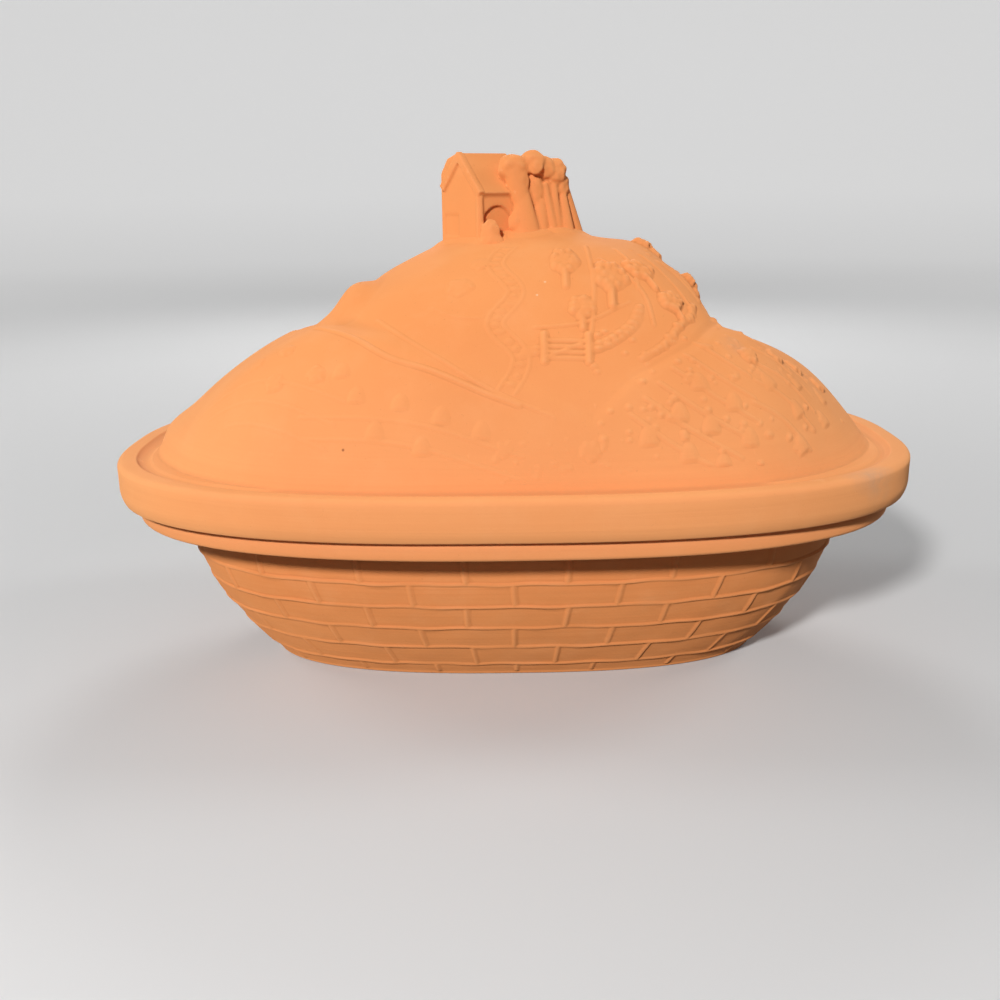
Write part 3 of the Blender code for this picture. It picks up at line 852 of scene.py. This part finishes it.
def footpath(u, v, points, width, height):
    """A trodden path between two low edges, laid with flat stones."""
    line = smooth_line(points, 12 * len(points))
    away, share = away_from(u, v, line)
    rise = height * smoothstep(2 * (1 - np.abs(np.abs(away) - width / 2) / 0.65))
    length = np.hypot(*np.diff(line, axis=0).T).sum()
    for i in range(int(length / PATH_STONE_SPACING)):
        middle = line[int((i + 0.5) * PATH_STONE_SPACING / length * (len(line) - 1))]
        place = (middle[0] + 0.5 * math.sin(2.7 * i), middle[1])
        stone = (width * (0.62 + 0.12 * math.sin(1.9 * i)), 2.9)
        rise = np.maximum(rise, mound(u, v, place, stone, 0.8 * height, 4))
    return rise


def gate(u, v, at, width, tall, height):
    """A barred field gate between two stout posts."""
    left, right = at[0] - width / 2, at[0] + width / 2
    low, high = at[1] - tall * 0.36, at[1] + tall * 0.36
    posts = [((x, at[1] - tall / 2), (x, at[1] + tall * 0.62)) for x in (left, right)]
    bars = [((left, y), (right, y)) for y in (low + i * tall * 0.24 for i in range(4))]
    brace = ((left, low), (right, high))
    beads = [(post, 3.4, height) for post in posts]
    beads += [(bar, 1.5, 0.6 * height) for bar in bars]
    beads += [(brace, 1.4, 0.7 * height)]
    return np.maximum.reduce([bead(u, v, *each, smooth=False) for each in beads])


def furrows(u, v, start, end, step, count, bow, height):
    """Ploughed ridges beside each other, each from start to end, a step further on."""
    rise = np.zeros(u.shape)
    for i in range(count):
        shift = np.array(step) * i
        first, last = np.array(start) + shift, np.array(end) + shift
        middle = (first + last) / 2 + np.array(bow)
        rise = np.maximum(rise, bead(u, v, (first, middle, last), 1.9, height))
    return rise


def soften(rise, times):
    """Round off a relief, as slip and a worn mould do."""
    for _ in range(times):
        for axis in (0, 1):
            rise = (np.roll(rise, 1, axis) + 2 * rise + np.roll(rise, -1, axis)) / 4
    return rise


def hill_patch(name, at, size, motifs):
    """A skin of clay on the hillside with moulded motifs, which are laid out in millimetres."""
    length, width = size
    rows, columns = int(width * MM / RELIEF_STEP) + 1, int(length * MM / RELIEF_STEP) + 1
    u, v = np.meshgrid(np.linspace(-length / 2, length / 2, columns),
                       np.linspace(-width / 2, width / 2, rows))
    start = np.array([[at[0], at[1]]]) * MM
    normal = hill_normals(start[:, 0], start[:, 1])[0]
    middle = np.array([*start[0], hill_height(start[:, 0], start[:, 1])[0]])
    level_way = np.cross((0, 0, 1), normal)
    level_way /= np.linalg.norm(level_way)
    slope_way = np.cross(normal, level_way)
    flat = middle + (u[..., None] * level_way + v[..., None] * slope_way) * MM
    # Halve the way between a place above the hill and one inside it until it is the surface
    outside, inside = np.full(u.shape, 25 * MM), np.full(u.shape, -75 * MM)
    for _ in range(24):
        halfway = (outside + inside) / 2
        places = flat + normal * halfway[..., None]
        above = places[..., 2] > hill_height(places[..., 0], places[..., 1])
        outside, inside = np.where(above, halfway, outside), np.where(above, inside, halfway)
    normals = hill_normals(places[..., 0], places[..., 1])
    border = np.minimum(length / 2 - np.abs(u), width / 2 - np.abs(v))
    worn = 1 + 0.12 * lumps(places, 22 * MM, 3)
    on_hill = smoothstep((places[..., 2] - GUTTER_LEVEL - 1.5 * MM) / (3 * MM))
    relief = np.maximum.reduce([motif(u, v, *settings) for motif, *settings in motifs])
    rise = RELIEF_STRENGTH * MM * soften(relief, RELIEF_SOFTNESS)
    rise = rise * worn * smoothstep(border / RELIEF_FADE) * on_hill
    sunk = RELIEF_SINK + 0.6 * MM * (1 - smoothstep(border / SKIN_TUCK)) + 2 * MM * (1 - on_hill)
    places = places + normals * (rise - sunk)[..., None]
    patch = grid(name, places)
    apply_modifier(patch, "SOLIDIFY", thickness=RELIEF_THICKNESS, offset=-1)
    return patch


def finish_piece(piece, clay, body, stands_for=None):
    """Give a finished piece its clay, square it up and set it on its body."""
    piece.data.materials.clear()
    piece.data.materials.append(clay)
    select_only(piece)
    settle()
    edit_all(bpy.ops.mesh.normals_make_consistent, inside=False)
    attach(piece, body)
    if stands_for:
        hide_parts(stands_for)


# Each field: its middle on the plan, its length and width, and the motifs moulded on it, each
# with its places and sizes in millimetres from the field's middle and the seed of its draws
FIELDS = {
    # The top field: a footpath down from the cottage, fruit trees, a gate and a stone wall
    "crown_field": ((8, -64), (90, 84), (
        (footpath, ((-8, 44), (-15, 26), (-7, 8), (-15, -8), (-5, -24), (-12, -42)), 6.5, 0.34),
        (orchard_tree, (31, 15), 14.5, 1.5, 4, 1.5),
        (orchard_tree, (13, 24), 12, 1.2, 12, 1.7),
        (orchard_tree, (19, -2), 11, 1.0, 13, 1.2),
        (bushes, 5, ((-29, 13, 12, 0.5), (-21, 27, 9, 0.45))),
        (gate, (12.5, -20), 17, 11, 0.9),
        (stone_wall, ((-3, -21), (1, -20.5), (4, -20.5)), 2.6, 0.6, 7),
        (stone_wall, ((22, -19.5), (30, -15.5), (38, -8), (42, 1)), 2.8, 0.9, 8),
        (bead, ((34, 41), (40, 28), (42, 12)), 1.5, 0.6),
        (bead, ((22, 41), (23, 30), (24, 8), (22, -14)), 1.5, 0.55),
        (bead, ((-40, 3), (-31, -3), (-21, -5)), 1.4, 0.3),
        (bead, ((0, -10), (12, -9), (23, -6), (38, 4)), 1.4, 0.45),
    )),
    # The steep side of the top field: field lines, fruit trees and a hedge at its foot
    "flank_field": ((62, -54), (56, 66), (
        (bead, ((-13, 32), (-9, 18), (-9, 4), (-13, -10)), 1.5, 0.6),
        (bead, ((8, 32), (10, 16), (11, 2), (10, -8)), 1.5, 0.6),
        (orchard_tree, (-2, 17), 12, 1.4, 10, 1.3),
        (orchard_tree, (1, -2), 12, 1.5, 14),
        (furrows, (17, 26), (22, 2), (5, -3), 3, (1.5, 1), 0.6),
        (hedge, ((-24, -22), (-13, -19), (-3, -13), (7, -8), (14, -2)), 4.6, 1.0, 11),
    )),
    # The right-hand brow: round bushes that stand against the sky
    "summit_side": ((70, -12), (52, 66), (
        (clods, 70, 16, 3, 0.5),
        (bushes, 71, ((6, 17, 10, 1.9), (3, 10.5, 7, 1.3), (3, -8, 9, 2.3), (1, -13.5, 6, 1.2),
                      (-8, -27, 8, 1.3))),
    )),
    # The near right field: haycocks in staggered rows between ploughed ridges
    "right_low_field": ((62, -86), (68, 62), (
        (furrows, (-20, -8), (16, -33), (6.5, 6.0), 6, (-1.5, -1), 0.45),
        (clods, 24, 60, 2.8, 0.7),
        (haycocks, 8, 0.85, ((-14, -17), (-1, -8.5), (1, -24), (11, -14), (22, -5), (14.5, -29),
                             (26.5, -19), (9, 3.5))),
    )),
    # The far right field: the rows go on round the end of the hill, and bushes close them
    "right_high_field": ((106, -56), (76, 74), (
        (furrows, (-28, -7), (-12, -36), (7.5, 6.0), 6, (1, 2), 0.45),
        (clods, 25, 60, 2.8, 0.6),
        (haycocks, 8, 0.7, ((-15, -4), (-9, -19), (3, -10), (7, -28), (20, -20), (-16, -31))),
        (bushes, 20, ((-13, 9, 9, 1.1), (6, 4, 10, 1.1), (22, -3, 10, 1.1), (34, -14, 9, 1.1))),
    )),
    # The near left field, worn low: the lane's two kerbs, terraces and a few haycocks
    "left_low_field": ((-36, -88), (106, 78), (
        (bead, ((-50, 38), (-30, 26), (-13.4, 14.6), (3.5, 8.6), (24, 0), (38, -5)), 2.2, 0.7),
        (bead, ((-22, 37), (-10, 26), (4, 15.8), (27, 1), (52, -9)), 1.6, 0.45),
        (furrows, (-46, -10), (40, -24), (0, -8.5), 2, (0, 4), 0.3),
        (haycocks, 7.5, 0.55, ((-31, 9), (-24, -2), (-7, -5), (9, -10), (24, -15), (-16, -16),
                               (2, -22))),
    )),
    # The far left field, worn low: bushes along its edge and terraces round the end
    "left_high_field": ((-92, -58), (84, 74), (
        (furrows, (-34, -36), (40, -6), (0, -9), 3, (-4, 5), 0.3),
        (bushes, 40, ((-9, -8, 9, 0.6), (2, 1, 8, 0.6), (9, -14, 9, 0.6), (24, -3, 8, 0.6))),
    )),
    # The strip above the gutter in front: loose earth and two low bushes
    "front_strip": ((14, -101), (66, 22), (
        (clods, 50, 34, 2.8, 0.32),
        (bushes, 51, ((14, 4, 9, 0.5), (-18, 5, 7, 0.35))),
    )),
    # The back of the hill: two fields under a hedge, with fruit trees and haycocks
    "back_field": ((0, 74), (108, 76), (
        (hedge, ((-50, 6), (-30, 15), (-8, 12), (14, 16), (34, 12), (50, 4)), 4.6, 0.9, 60),
        (stone_wall, ((2, 12), (4, 0), (1, -14), (3, -30)), 3.0, 0.8, 61),
        (furrows, (8, -2), (44, -6), (0, -7.5), 4, (0, 2), 0.4),
        (haycocks, 8, 1.0, ((-38, -4), (-24, -8), (-10, -3), (-32, -20), (-16, -22))),
        (orchard_tree, (-20, 28), 13, 1.2, 63),
        (orchard_tree, (20, 29), 13, 1.1, 62),
    )),
}


def node(tree, kind, settings=None, **sockets):
    """A new node, with its settings, and its sockets given a value or linked."""
    made = tree.nodes.new(kind)
    for name, value in (settings or {}).items():
        setattr(made, name, value)
    for name, value in sockets.items():
        give(tree, value, made.inputs[name.replace("_", " ")])
    return made


def give(tree, value, socket):
    """Link an output to a socket, or set the socket's own value."""
    if isinstance(value, bpy.types.NodeSocket):
        tree.links.new(value, socket)
    else:
        socket.default_value = value


def mix_colour(tree, share, first, second):
    """The first colour, with a share of the second."""
    made = node(tree, "ShaderNodeMix", {"data_type": "RGBA"})
    for number, value in ((0, share), (6, first), (7, second)):
        give(tree, value, made.inputs[number])
    return made.outputs[2]


def tint(tree, colour, tone, mask, strength=None):
    """The colour with a tone over it where the mask is."""
    share = maths(tree, "MULTIPLY", mask, strength) if strength else mask
    return mix_colour(tree, share, colour, (*tone, 1))


def maths(tree, operation, first, second):
    """One step of arithmetic on two values."""
    made = node(tree, "ShaderNodeMath", {"operation": operation})
    give(tree, first, made.inputs[0])
    give(tree, second, made.inputs[1])
    return made.outputs[0]


def spread(tree, value, low, high, least=0.0, most=1.0):
    """Spread a value's range from low to high over least to most."""
    ends = {"From_Min": low, "From_Max": high, "To_Min": least, "To_Max": most}
    return node(tree, "ShaderNodeMapRange", {"clamp": True}, Value=value, **ends).outputs["Result"]


def noise(tree, place, scale, detail, roughness):
    """Cloudy noise with this many swells to the metre."""
    settings = {"Vector": place, "Scale": scale, "Detail": detail, "Roughness": roughness}
    return node(tree, "ShaderNodeTexNoise", **settings).outputs["Fac"]


def new_group(name, inputs, outputs):
    """An empty shader node group with named inputs and outputs."""
    tree = bpy.data.node_groups.new(name, "ShaderNodeTree")
    kinds = {"number": "NodeSocketFloat", "colour": "NodeSocketColor", "vector": "NodeSocketVector"}
    for label, kind in inputs:
        tree.interface.new_socket(name=label, in_out="INPUT", socket_type=kinds[kind])
    for label, kind in outputs:
        tree.interface.new_socket(name=label, in_out="OUTPUT", socket_type=kinds[kind])
    return tree, tree.nodes.new("NodeGroupInput").outputs, tree.nodes.new("NodeGroupOutput").inputs


def fired_clay_group():
    """The uneven colour of fired clay: cloudy, with warmer flushes and fine pale grog."""
    inputs = (("Place", "vector"), ("Clay", "colour"), ("Flush", "colour"), ("Bloom", "colour"))
    tree, given, out = new_group("fired_clay_colour", inputs, (("Colour", "colour"),))
    place, bloom_and_painted_light = given["Place"], given["Bloom"]
    clouds = spread(tree, noise(tree, place, 16, 3, 0.55), 0.38, 0.68)
    flushed = mix_colour(tree, maths(tree, "MULTIPLY", clouds, 0.38), given["Clay"], given["Flush"])
    patches = spread(tree, noise(tree, place, 55, 4, 0.6), 0.5, 0.78, 0.0, 0.3)
    bloomed = mix_colour(tree, patches, flushed, bloom_and_painted_light)
    speckle = spread(tree, noise(tree, place, 1500, 2, 0.6), 0.62, 0.74, 0.0, 0.22)
    grog = mix_colour(tree, speckle, bloomed, bloom_and_painted_light)
    dark = spread(tree, noise(tree, place, 900, 2, 0.5), 0.30, 0.20, 0.0, 0.35)
    tree.links.new(tint(tree, grog, DARK_GRAIN, dark), out["Colour"])
    return tree


def turned_streaks_group():
    """Fine level streaks left by the sponge; the output is 0.5 where nothing shows."""
    inputs = (("Place", "vector"), ("Low", "number"), ("High", "number"))
    tree, given, out = new_group("level_streaks", inputs, (("Streaks", "number"),))
    halves = []
    for stretch, roughness in (((14, 14, 1500), 0.6), ((9, 9, 520), 0.5)):
        drawn_out = node(tree, "ShaderNodeMapping", Vector=given["Place"], Scale=stretch)
        streaks = noise(tree, drawn_out.outputs["Vector"], 1.0, 2, roughness)
        halves.append(maths(tree, "MULTIPLY", streaks, 0.5))
    away = maths(tree, "SUBTRACT", maths(tree, "ADD", *halves), 0.5)
    height = node(tree, "ShaderNodeSeparateXYZ", Vector=given["Place"]).outputs["Z"]
    kept = maths(tree, "MULTIPLY", away, spread(tree, height, given["High"], given["Low"]))
    tree.links.new(maths(tree, "ADD", kept, 0.5), out["Streaks"])
    return tree


def worn_edges_and_shade_group():
    """Where edges are rubbed paler by wear, and where hollows and creases get painted shade."""
    tree, _, out = new_group("worn_edges_and_shade", (), (("Rubbed", "number"), ("Hollow_shade", "number")))
    bend = tree.nodes.new("ShaderNodeNewGeometry").outputs["Pointiness"]
    tree.links.new(spread(tree, bend, 0.506, 0.56), out["Rubbed"])
    # Painted shade: hollows and creases, found by the mesh's pointiness, are darkened as though in
    # shadow
    tree.links.new(spread(tree, bend, 0.495, 0.45), out["Hollow_shade"])
    return tree


def clay_grain_group():
    """The feel of unglazed clay: a fine tooth, soft dimples and scattered pores."""
    tree, given, out = new_group("clay_grain", (("Place", "vector"),), (("Height", "number"),))
    place = given["Place"]
    tooth = noise(tree, place, 1700, 3, 0.6)
    dimples = noise(tree, place, 260, 3, 0.5)
    cells = node(tree, "ShaderNodeTexVoronoi", Vector=place, Scale=420, Randomness=1.0)
    pores = spread(tree, cells.outputs["Distance"], 0.04, 0.16)
    sparse = spread(tree, noise(tree, place, 130, 1, 0.5), 0.50, 0.56, 1.0, 0.0)
    pits = maths(tree, "MAXIMUM", pores, sparse)
    height = maths(tree, "MULTIPLY", tooth, 0.35)
    for part, share in ((dimples, 0.55), (pits, 0.45)):
        height = maths(tree, "ADD", height, maths(tree, "MULTIPLY", part, share))
    tree.links.new(height, out["Height"])
    return tree


def placed_group(tree, group, **sockets):
    """The outputs of a group placed in a material, with its sockets given."""
    return node(tree, "ShaderNodeGroup", {"node_tree": group}, **sockets).outputs


def spot(tree, place, middle, inner, outer):
    """A mask that is 1 at a place in millimetres and fades out between two radii."""
    away = node(tree, "ShaderNodeVectorMath", {"operation": "DISTANCE"})
    tree.links.new(place, away.inputs[0])
    away.inputs[1].default_value = [c * MM for c in middle]
    return spread(tree, away.outputs["Value"], outer * MM, inner * MM)


DARK_GRAIN = (0.42, 0.13, 0.035)
# Painted shade, laid in hollows and creases
HOLLOW_SHADE_TONE = (0.48, 0.15, 0.04)
SCUFF_TONE = (0.47, 0.33, 0.24)
PALE_CHIP = (0.88, 0.52, 0.29)
DARK_CHIP = (0.42, 0.14, 0.05)

FIRED_CLAY = fired_clay_group()
LEVEL_STREAKS = turned_streaks_group()
WORN_EDGES_AND_SHADE = worn_edges_and_shade_group()
CLAY_GRAIN = clay_grain_group()


def terracotta(name, clay, flush, bloom_and_painted_light, streaks, pale, chips=(), scuffs=()):
    """Unglazed terracotta; streaks and pale give the heights between which they fade out or in; the
    paler tone that fades in by height is painted light.
    """
    material = bpy.data.materials.new(name)
    material.use_nodes = True
    tree = material.node_tree
    shader = tree.nodes["Principled BSDF"]
    place = tree.nodes.new("ShaderNodeTexCoord").outputs["Object"]
    colours = {"Clay": (*clay, 1), "Flush": (*flush, 1), "Bloom": (*bloom_and_painted_light, 1)}
    colour = placed_group(tree, FIRED_CLAY, Place=place, **colours)["Colour"]
    low, high = streaks
    lines = placed_group(tree, LEVEL_STREAKS, Place=place, Low=low, High=high)["Streaks"]
    grain = placed_group(tree, CLAY_GRAIN, Place=place)["Height"]
    edges = placed_group(tree, WORN_EDGES_AND_SHADE)
    colour = tint(tree, colour, flush, spread(tree, lines, 0.36, 0.66, 0.0, 0.34))
    # Painted shade: the hollows and creases of the relief and of the joints turn darker
    colour = tint(tree, colour, HOLLOW_SHADE_TONE, edges["Hollow_shade"], 0.6)
    colour = tint(tree, colour, bloom_and_painted_light, edges["Rubbed"], 0.4)
    height = node(tree, "ShaderNodeSeparateXYZ", Vector=place).outputs["Z"]
    # Painted light: between the two pale heights the colour turns paler, standing in for brighter light
    # on the lid's flange and lower slopes and on the dish's upper wall and rim band
    colour = tint(tree, colour, bloom_and_painted_light, spread(tree, height, *pale, 0.0, 0.36))
    for middle, inner, outer, strength in scuffs:
        faint = spread(tree, noise(tree, place, 120, 4, 0.65), 0.35, 0.7, 0.2, 1.0)
        mask = maths(tree, "MULTIPLY", spot(tree, place, middle, inner, outer), faint)
        colour = tint(tree, colour, SCUFF_TONE, mask, strength)
    for middle, radius, tone in chips:
        colour = tint(tree, colour, tone, spot(tree, place, middle, 0.4 * radius, radius))
    tree.links.new(colour, shader.inputs["Base Color"])
    tree.links.new(spread(tree, grain, 0.3, 0.9, 0.92, 0.8), shader.inputs["Roughness"])
    tooth = maths(tree, "ADD", grain, maths(tree, "MULTIPLY", lines, 1.6))
    bump = node(tree, "ShaderNodeBump", Strength=0.6, Distance=0.16 * MM, Height=tooth)
    tree.links.new(bump.outputs["Normal"], shader.inputs["Normal"])
    shader.inputs["Specular IOR Level"].default_value = 0.25
    shader.inputs["Diffuse Roughness"].default_value = 0.55
    return material


dish_clay = terracotta(
    "dish_terracotta",
    clay=(0.79, 0.305, 0.1),
    flush=(0.71, 0.245, 0.072),
    bloom_and_painted_light=(0.86, 0.40, 0.17),
    streaks=(0.076, 0.09),
    # Painted light: the upper wall and the rim band are tinted paler
    pale=(0.06, 0.072),
    chips=(((-20, -92, 48), 0.9, DARK_CHIP),),
)
LID_COLOURS = {"clay": (0.87, 0.352, 0.116), "flush": (0.77, 0.27, 0.078), "bloom_and_painted_light": (0.90, 0.43, 0.18)}
lid_clay = terracotta(
    "lid_terracotta",
    **LID_COLOURS,
    streaks=(0.098, 0.116),
    # Painted light: the flange and the lower hillside are tinted paler
    pale=(0.15, 0.1),
    chips=(
        ((13.0, -53.4, 165.9), 0.7, PALE_CHIP),
        ((9.6, -59.3, 161.3), 0.65, PALE_CHIP),
        ((-64.7, -94.9, 107.7), 0.7, DARK_CHIP),
        ((-110.8, -101.5, 78.6), 0.8, DARK_CHIP),
        ((44.4, -116.3, 83.0), 0.7, DARK_CHIP),
    ),
    scuffs=(((136, -85, 99), 2, 15, 0.5), ((143, -80, 90), 2, 12, 0.4), ((86, -60, 138), 1, 8, 0.5)),
)
knob_clay = terracotta("knob_terracotta", **LID_COLOURS, streaks=(0.05, 0.06), pale=(0.15, 0.1))

finish_piece(make_dish(), dish_clay, "dish", "dish")
finish_piece(make_lid(), lid_clay, "lid", "lid")
finish_piece(make_knob(), knob_clay, "lid")
for name, field in FIELDS.items():
    finish_piece(hill_patch(name, *field), lid_clay, "lid")


# The paper looks white, but throws back only as much light as a table top does
PAPER_WHITE, PAPER_BOUNCE, BACKDROP_GLOW = 0.76, 0.2, 0.5


def make_stage():
    """A pale floor that rises all round into a backdrop."""
    profile = [(0.0, 0.0), (0.4, 0.0), (1.0, 0.0), (1.8, 0.0), (2.2, 0.05), (2.5, 0.25)]
    profile += [(2.65, 0.6), (2.7, 1.4), (2.7, 3.0)]
    angles = np.linspace(0, 2 * math.pi, 72, endpoint=False)
    rings = [np.stack([r * np.cos(angles), r * np.sin(angles), np.full(72, z)], -1) for r, z in profile]
    floor = grid("backdrop", np.stack(rings), rolled=True)
    paper = bpy.data.materials.new("white_paper")
    paper.use_nodes = True
    tree = paper.node_tree
    shader = tree.nodes["Principled BSDF"]
    ray = tree.nodes.new("ShaderNodeLightPath").outputs
    seen = maths(tree, "MAXIMUM", ray["Is Camera Ray"], ray["Is Glossy Ray"])
    seen = maths(tree, "MAXIMUM", seen, ray["Is Transmission Ray"])
    colour = mix_colour(tree, seen, (*3 * [PAPER_BOUNCE], 1), (*3 * [PAPER_WHITE], 1))
    tree.links.new(colour, shader.inputs["Base Color"])
    away = node(tree, "ShaderNodeVectorMath", {"operation": "LENGTH"})
    tree.links.new(tree.nodes.new("ShaderNodeTexCoord").outputs["Object"], away.inputs[0])
    far = spread(tree, away.outputs["Value"], 0.3, 2.4, 0.0, BACKDROP_GLOW)
    shader.inputs["Emission Color"].default_value = (1, 1, 1, 1)
    tree.links.new(maths(tree, "MULTIPLY", seen, far), shader.inputs["Emission Strength"])
    shader.inputs["Roughness"].default_value = 0.9
    floor.data.materials.append(paper)


make_stage()
scene = bpy.context.scene

# Each round lamp: the way it stands from the aim and its rise, in degrees, its power and width
LAMPS = {
    "softbox": (-107, 26, 20.5, 0.16),
    "right_fill": (12, 32, 4, 0.5),
    "left_fill": (168, 32, 3.5, 0.5),
    "back_fill": (90, 32, 6, 0.5),
}
LAMP_AWAY = 1.5
AIM = Vector((0, 0, 0.1))
for name, (turn, rise, power, width) in LAMPS.items():
    turn, rise = math.radians(turn), math.radians(rise)
    way = Vector((math.cos(rise) * math.cos(turn), math.cos(rise) * math.sin(turn), math.sin(rise)))
    place = AIM + LAMP_AWAY * way
    light = bpy.data.lights.new(name, "AREA")
    light.energy = power
    light.shape = "DISK"
    light.size = width
    lamp = bpy.data.objects.new(name, light)
    lamp.location = place
    lamp.rotation_euler = (AIM - place).to_track_quat("-Z", "Y").to_euler()
    scene.collection.objects.link(lamp)

WORLD_STRENGTH = 0.12
world = bpy.data.worlds.new("studio")
world.use_nodes = True
surroundings = world.node_tree.nodes["Background"].inputs
surroundings["Color"].default_value = (1, 1, 1, 1)
surroundings["Strength"].default_value = WORLD_STRENGTH
scene.world = world
scene.view_settings.view_transform = "Standard"

# The camera: its place, how many degrees it looks down and is turned on its own axis, its lens
CAMERA_PLACE = (-0.006, -0.536, 0.203)
CAMERA_DIP, CAMERA_ROLL = 14.67, -0.75
CAMERA_LENS = 43.2

camera_data = bpy.data.cameras.new("camera")
camera_data.lens = CAMERA_LENS
camera_data.sensor_width = 36
camera = bpy.data.objects.new("camera", camera_data)
camera.matrix_world = (
    Matrix.Translation(CAMERA_PLACE)
    @ Matrix.Rotation(math.radians(90 - CAMERA_DIP), 4, "X")
    @ Matrix.Rotation(math.radians(CAMERA_ROLL), 4, "Z")
)
scene.collection.objects.link(camera)
scene.camera = camera
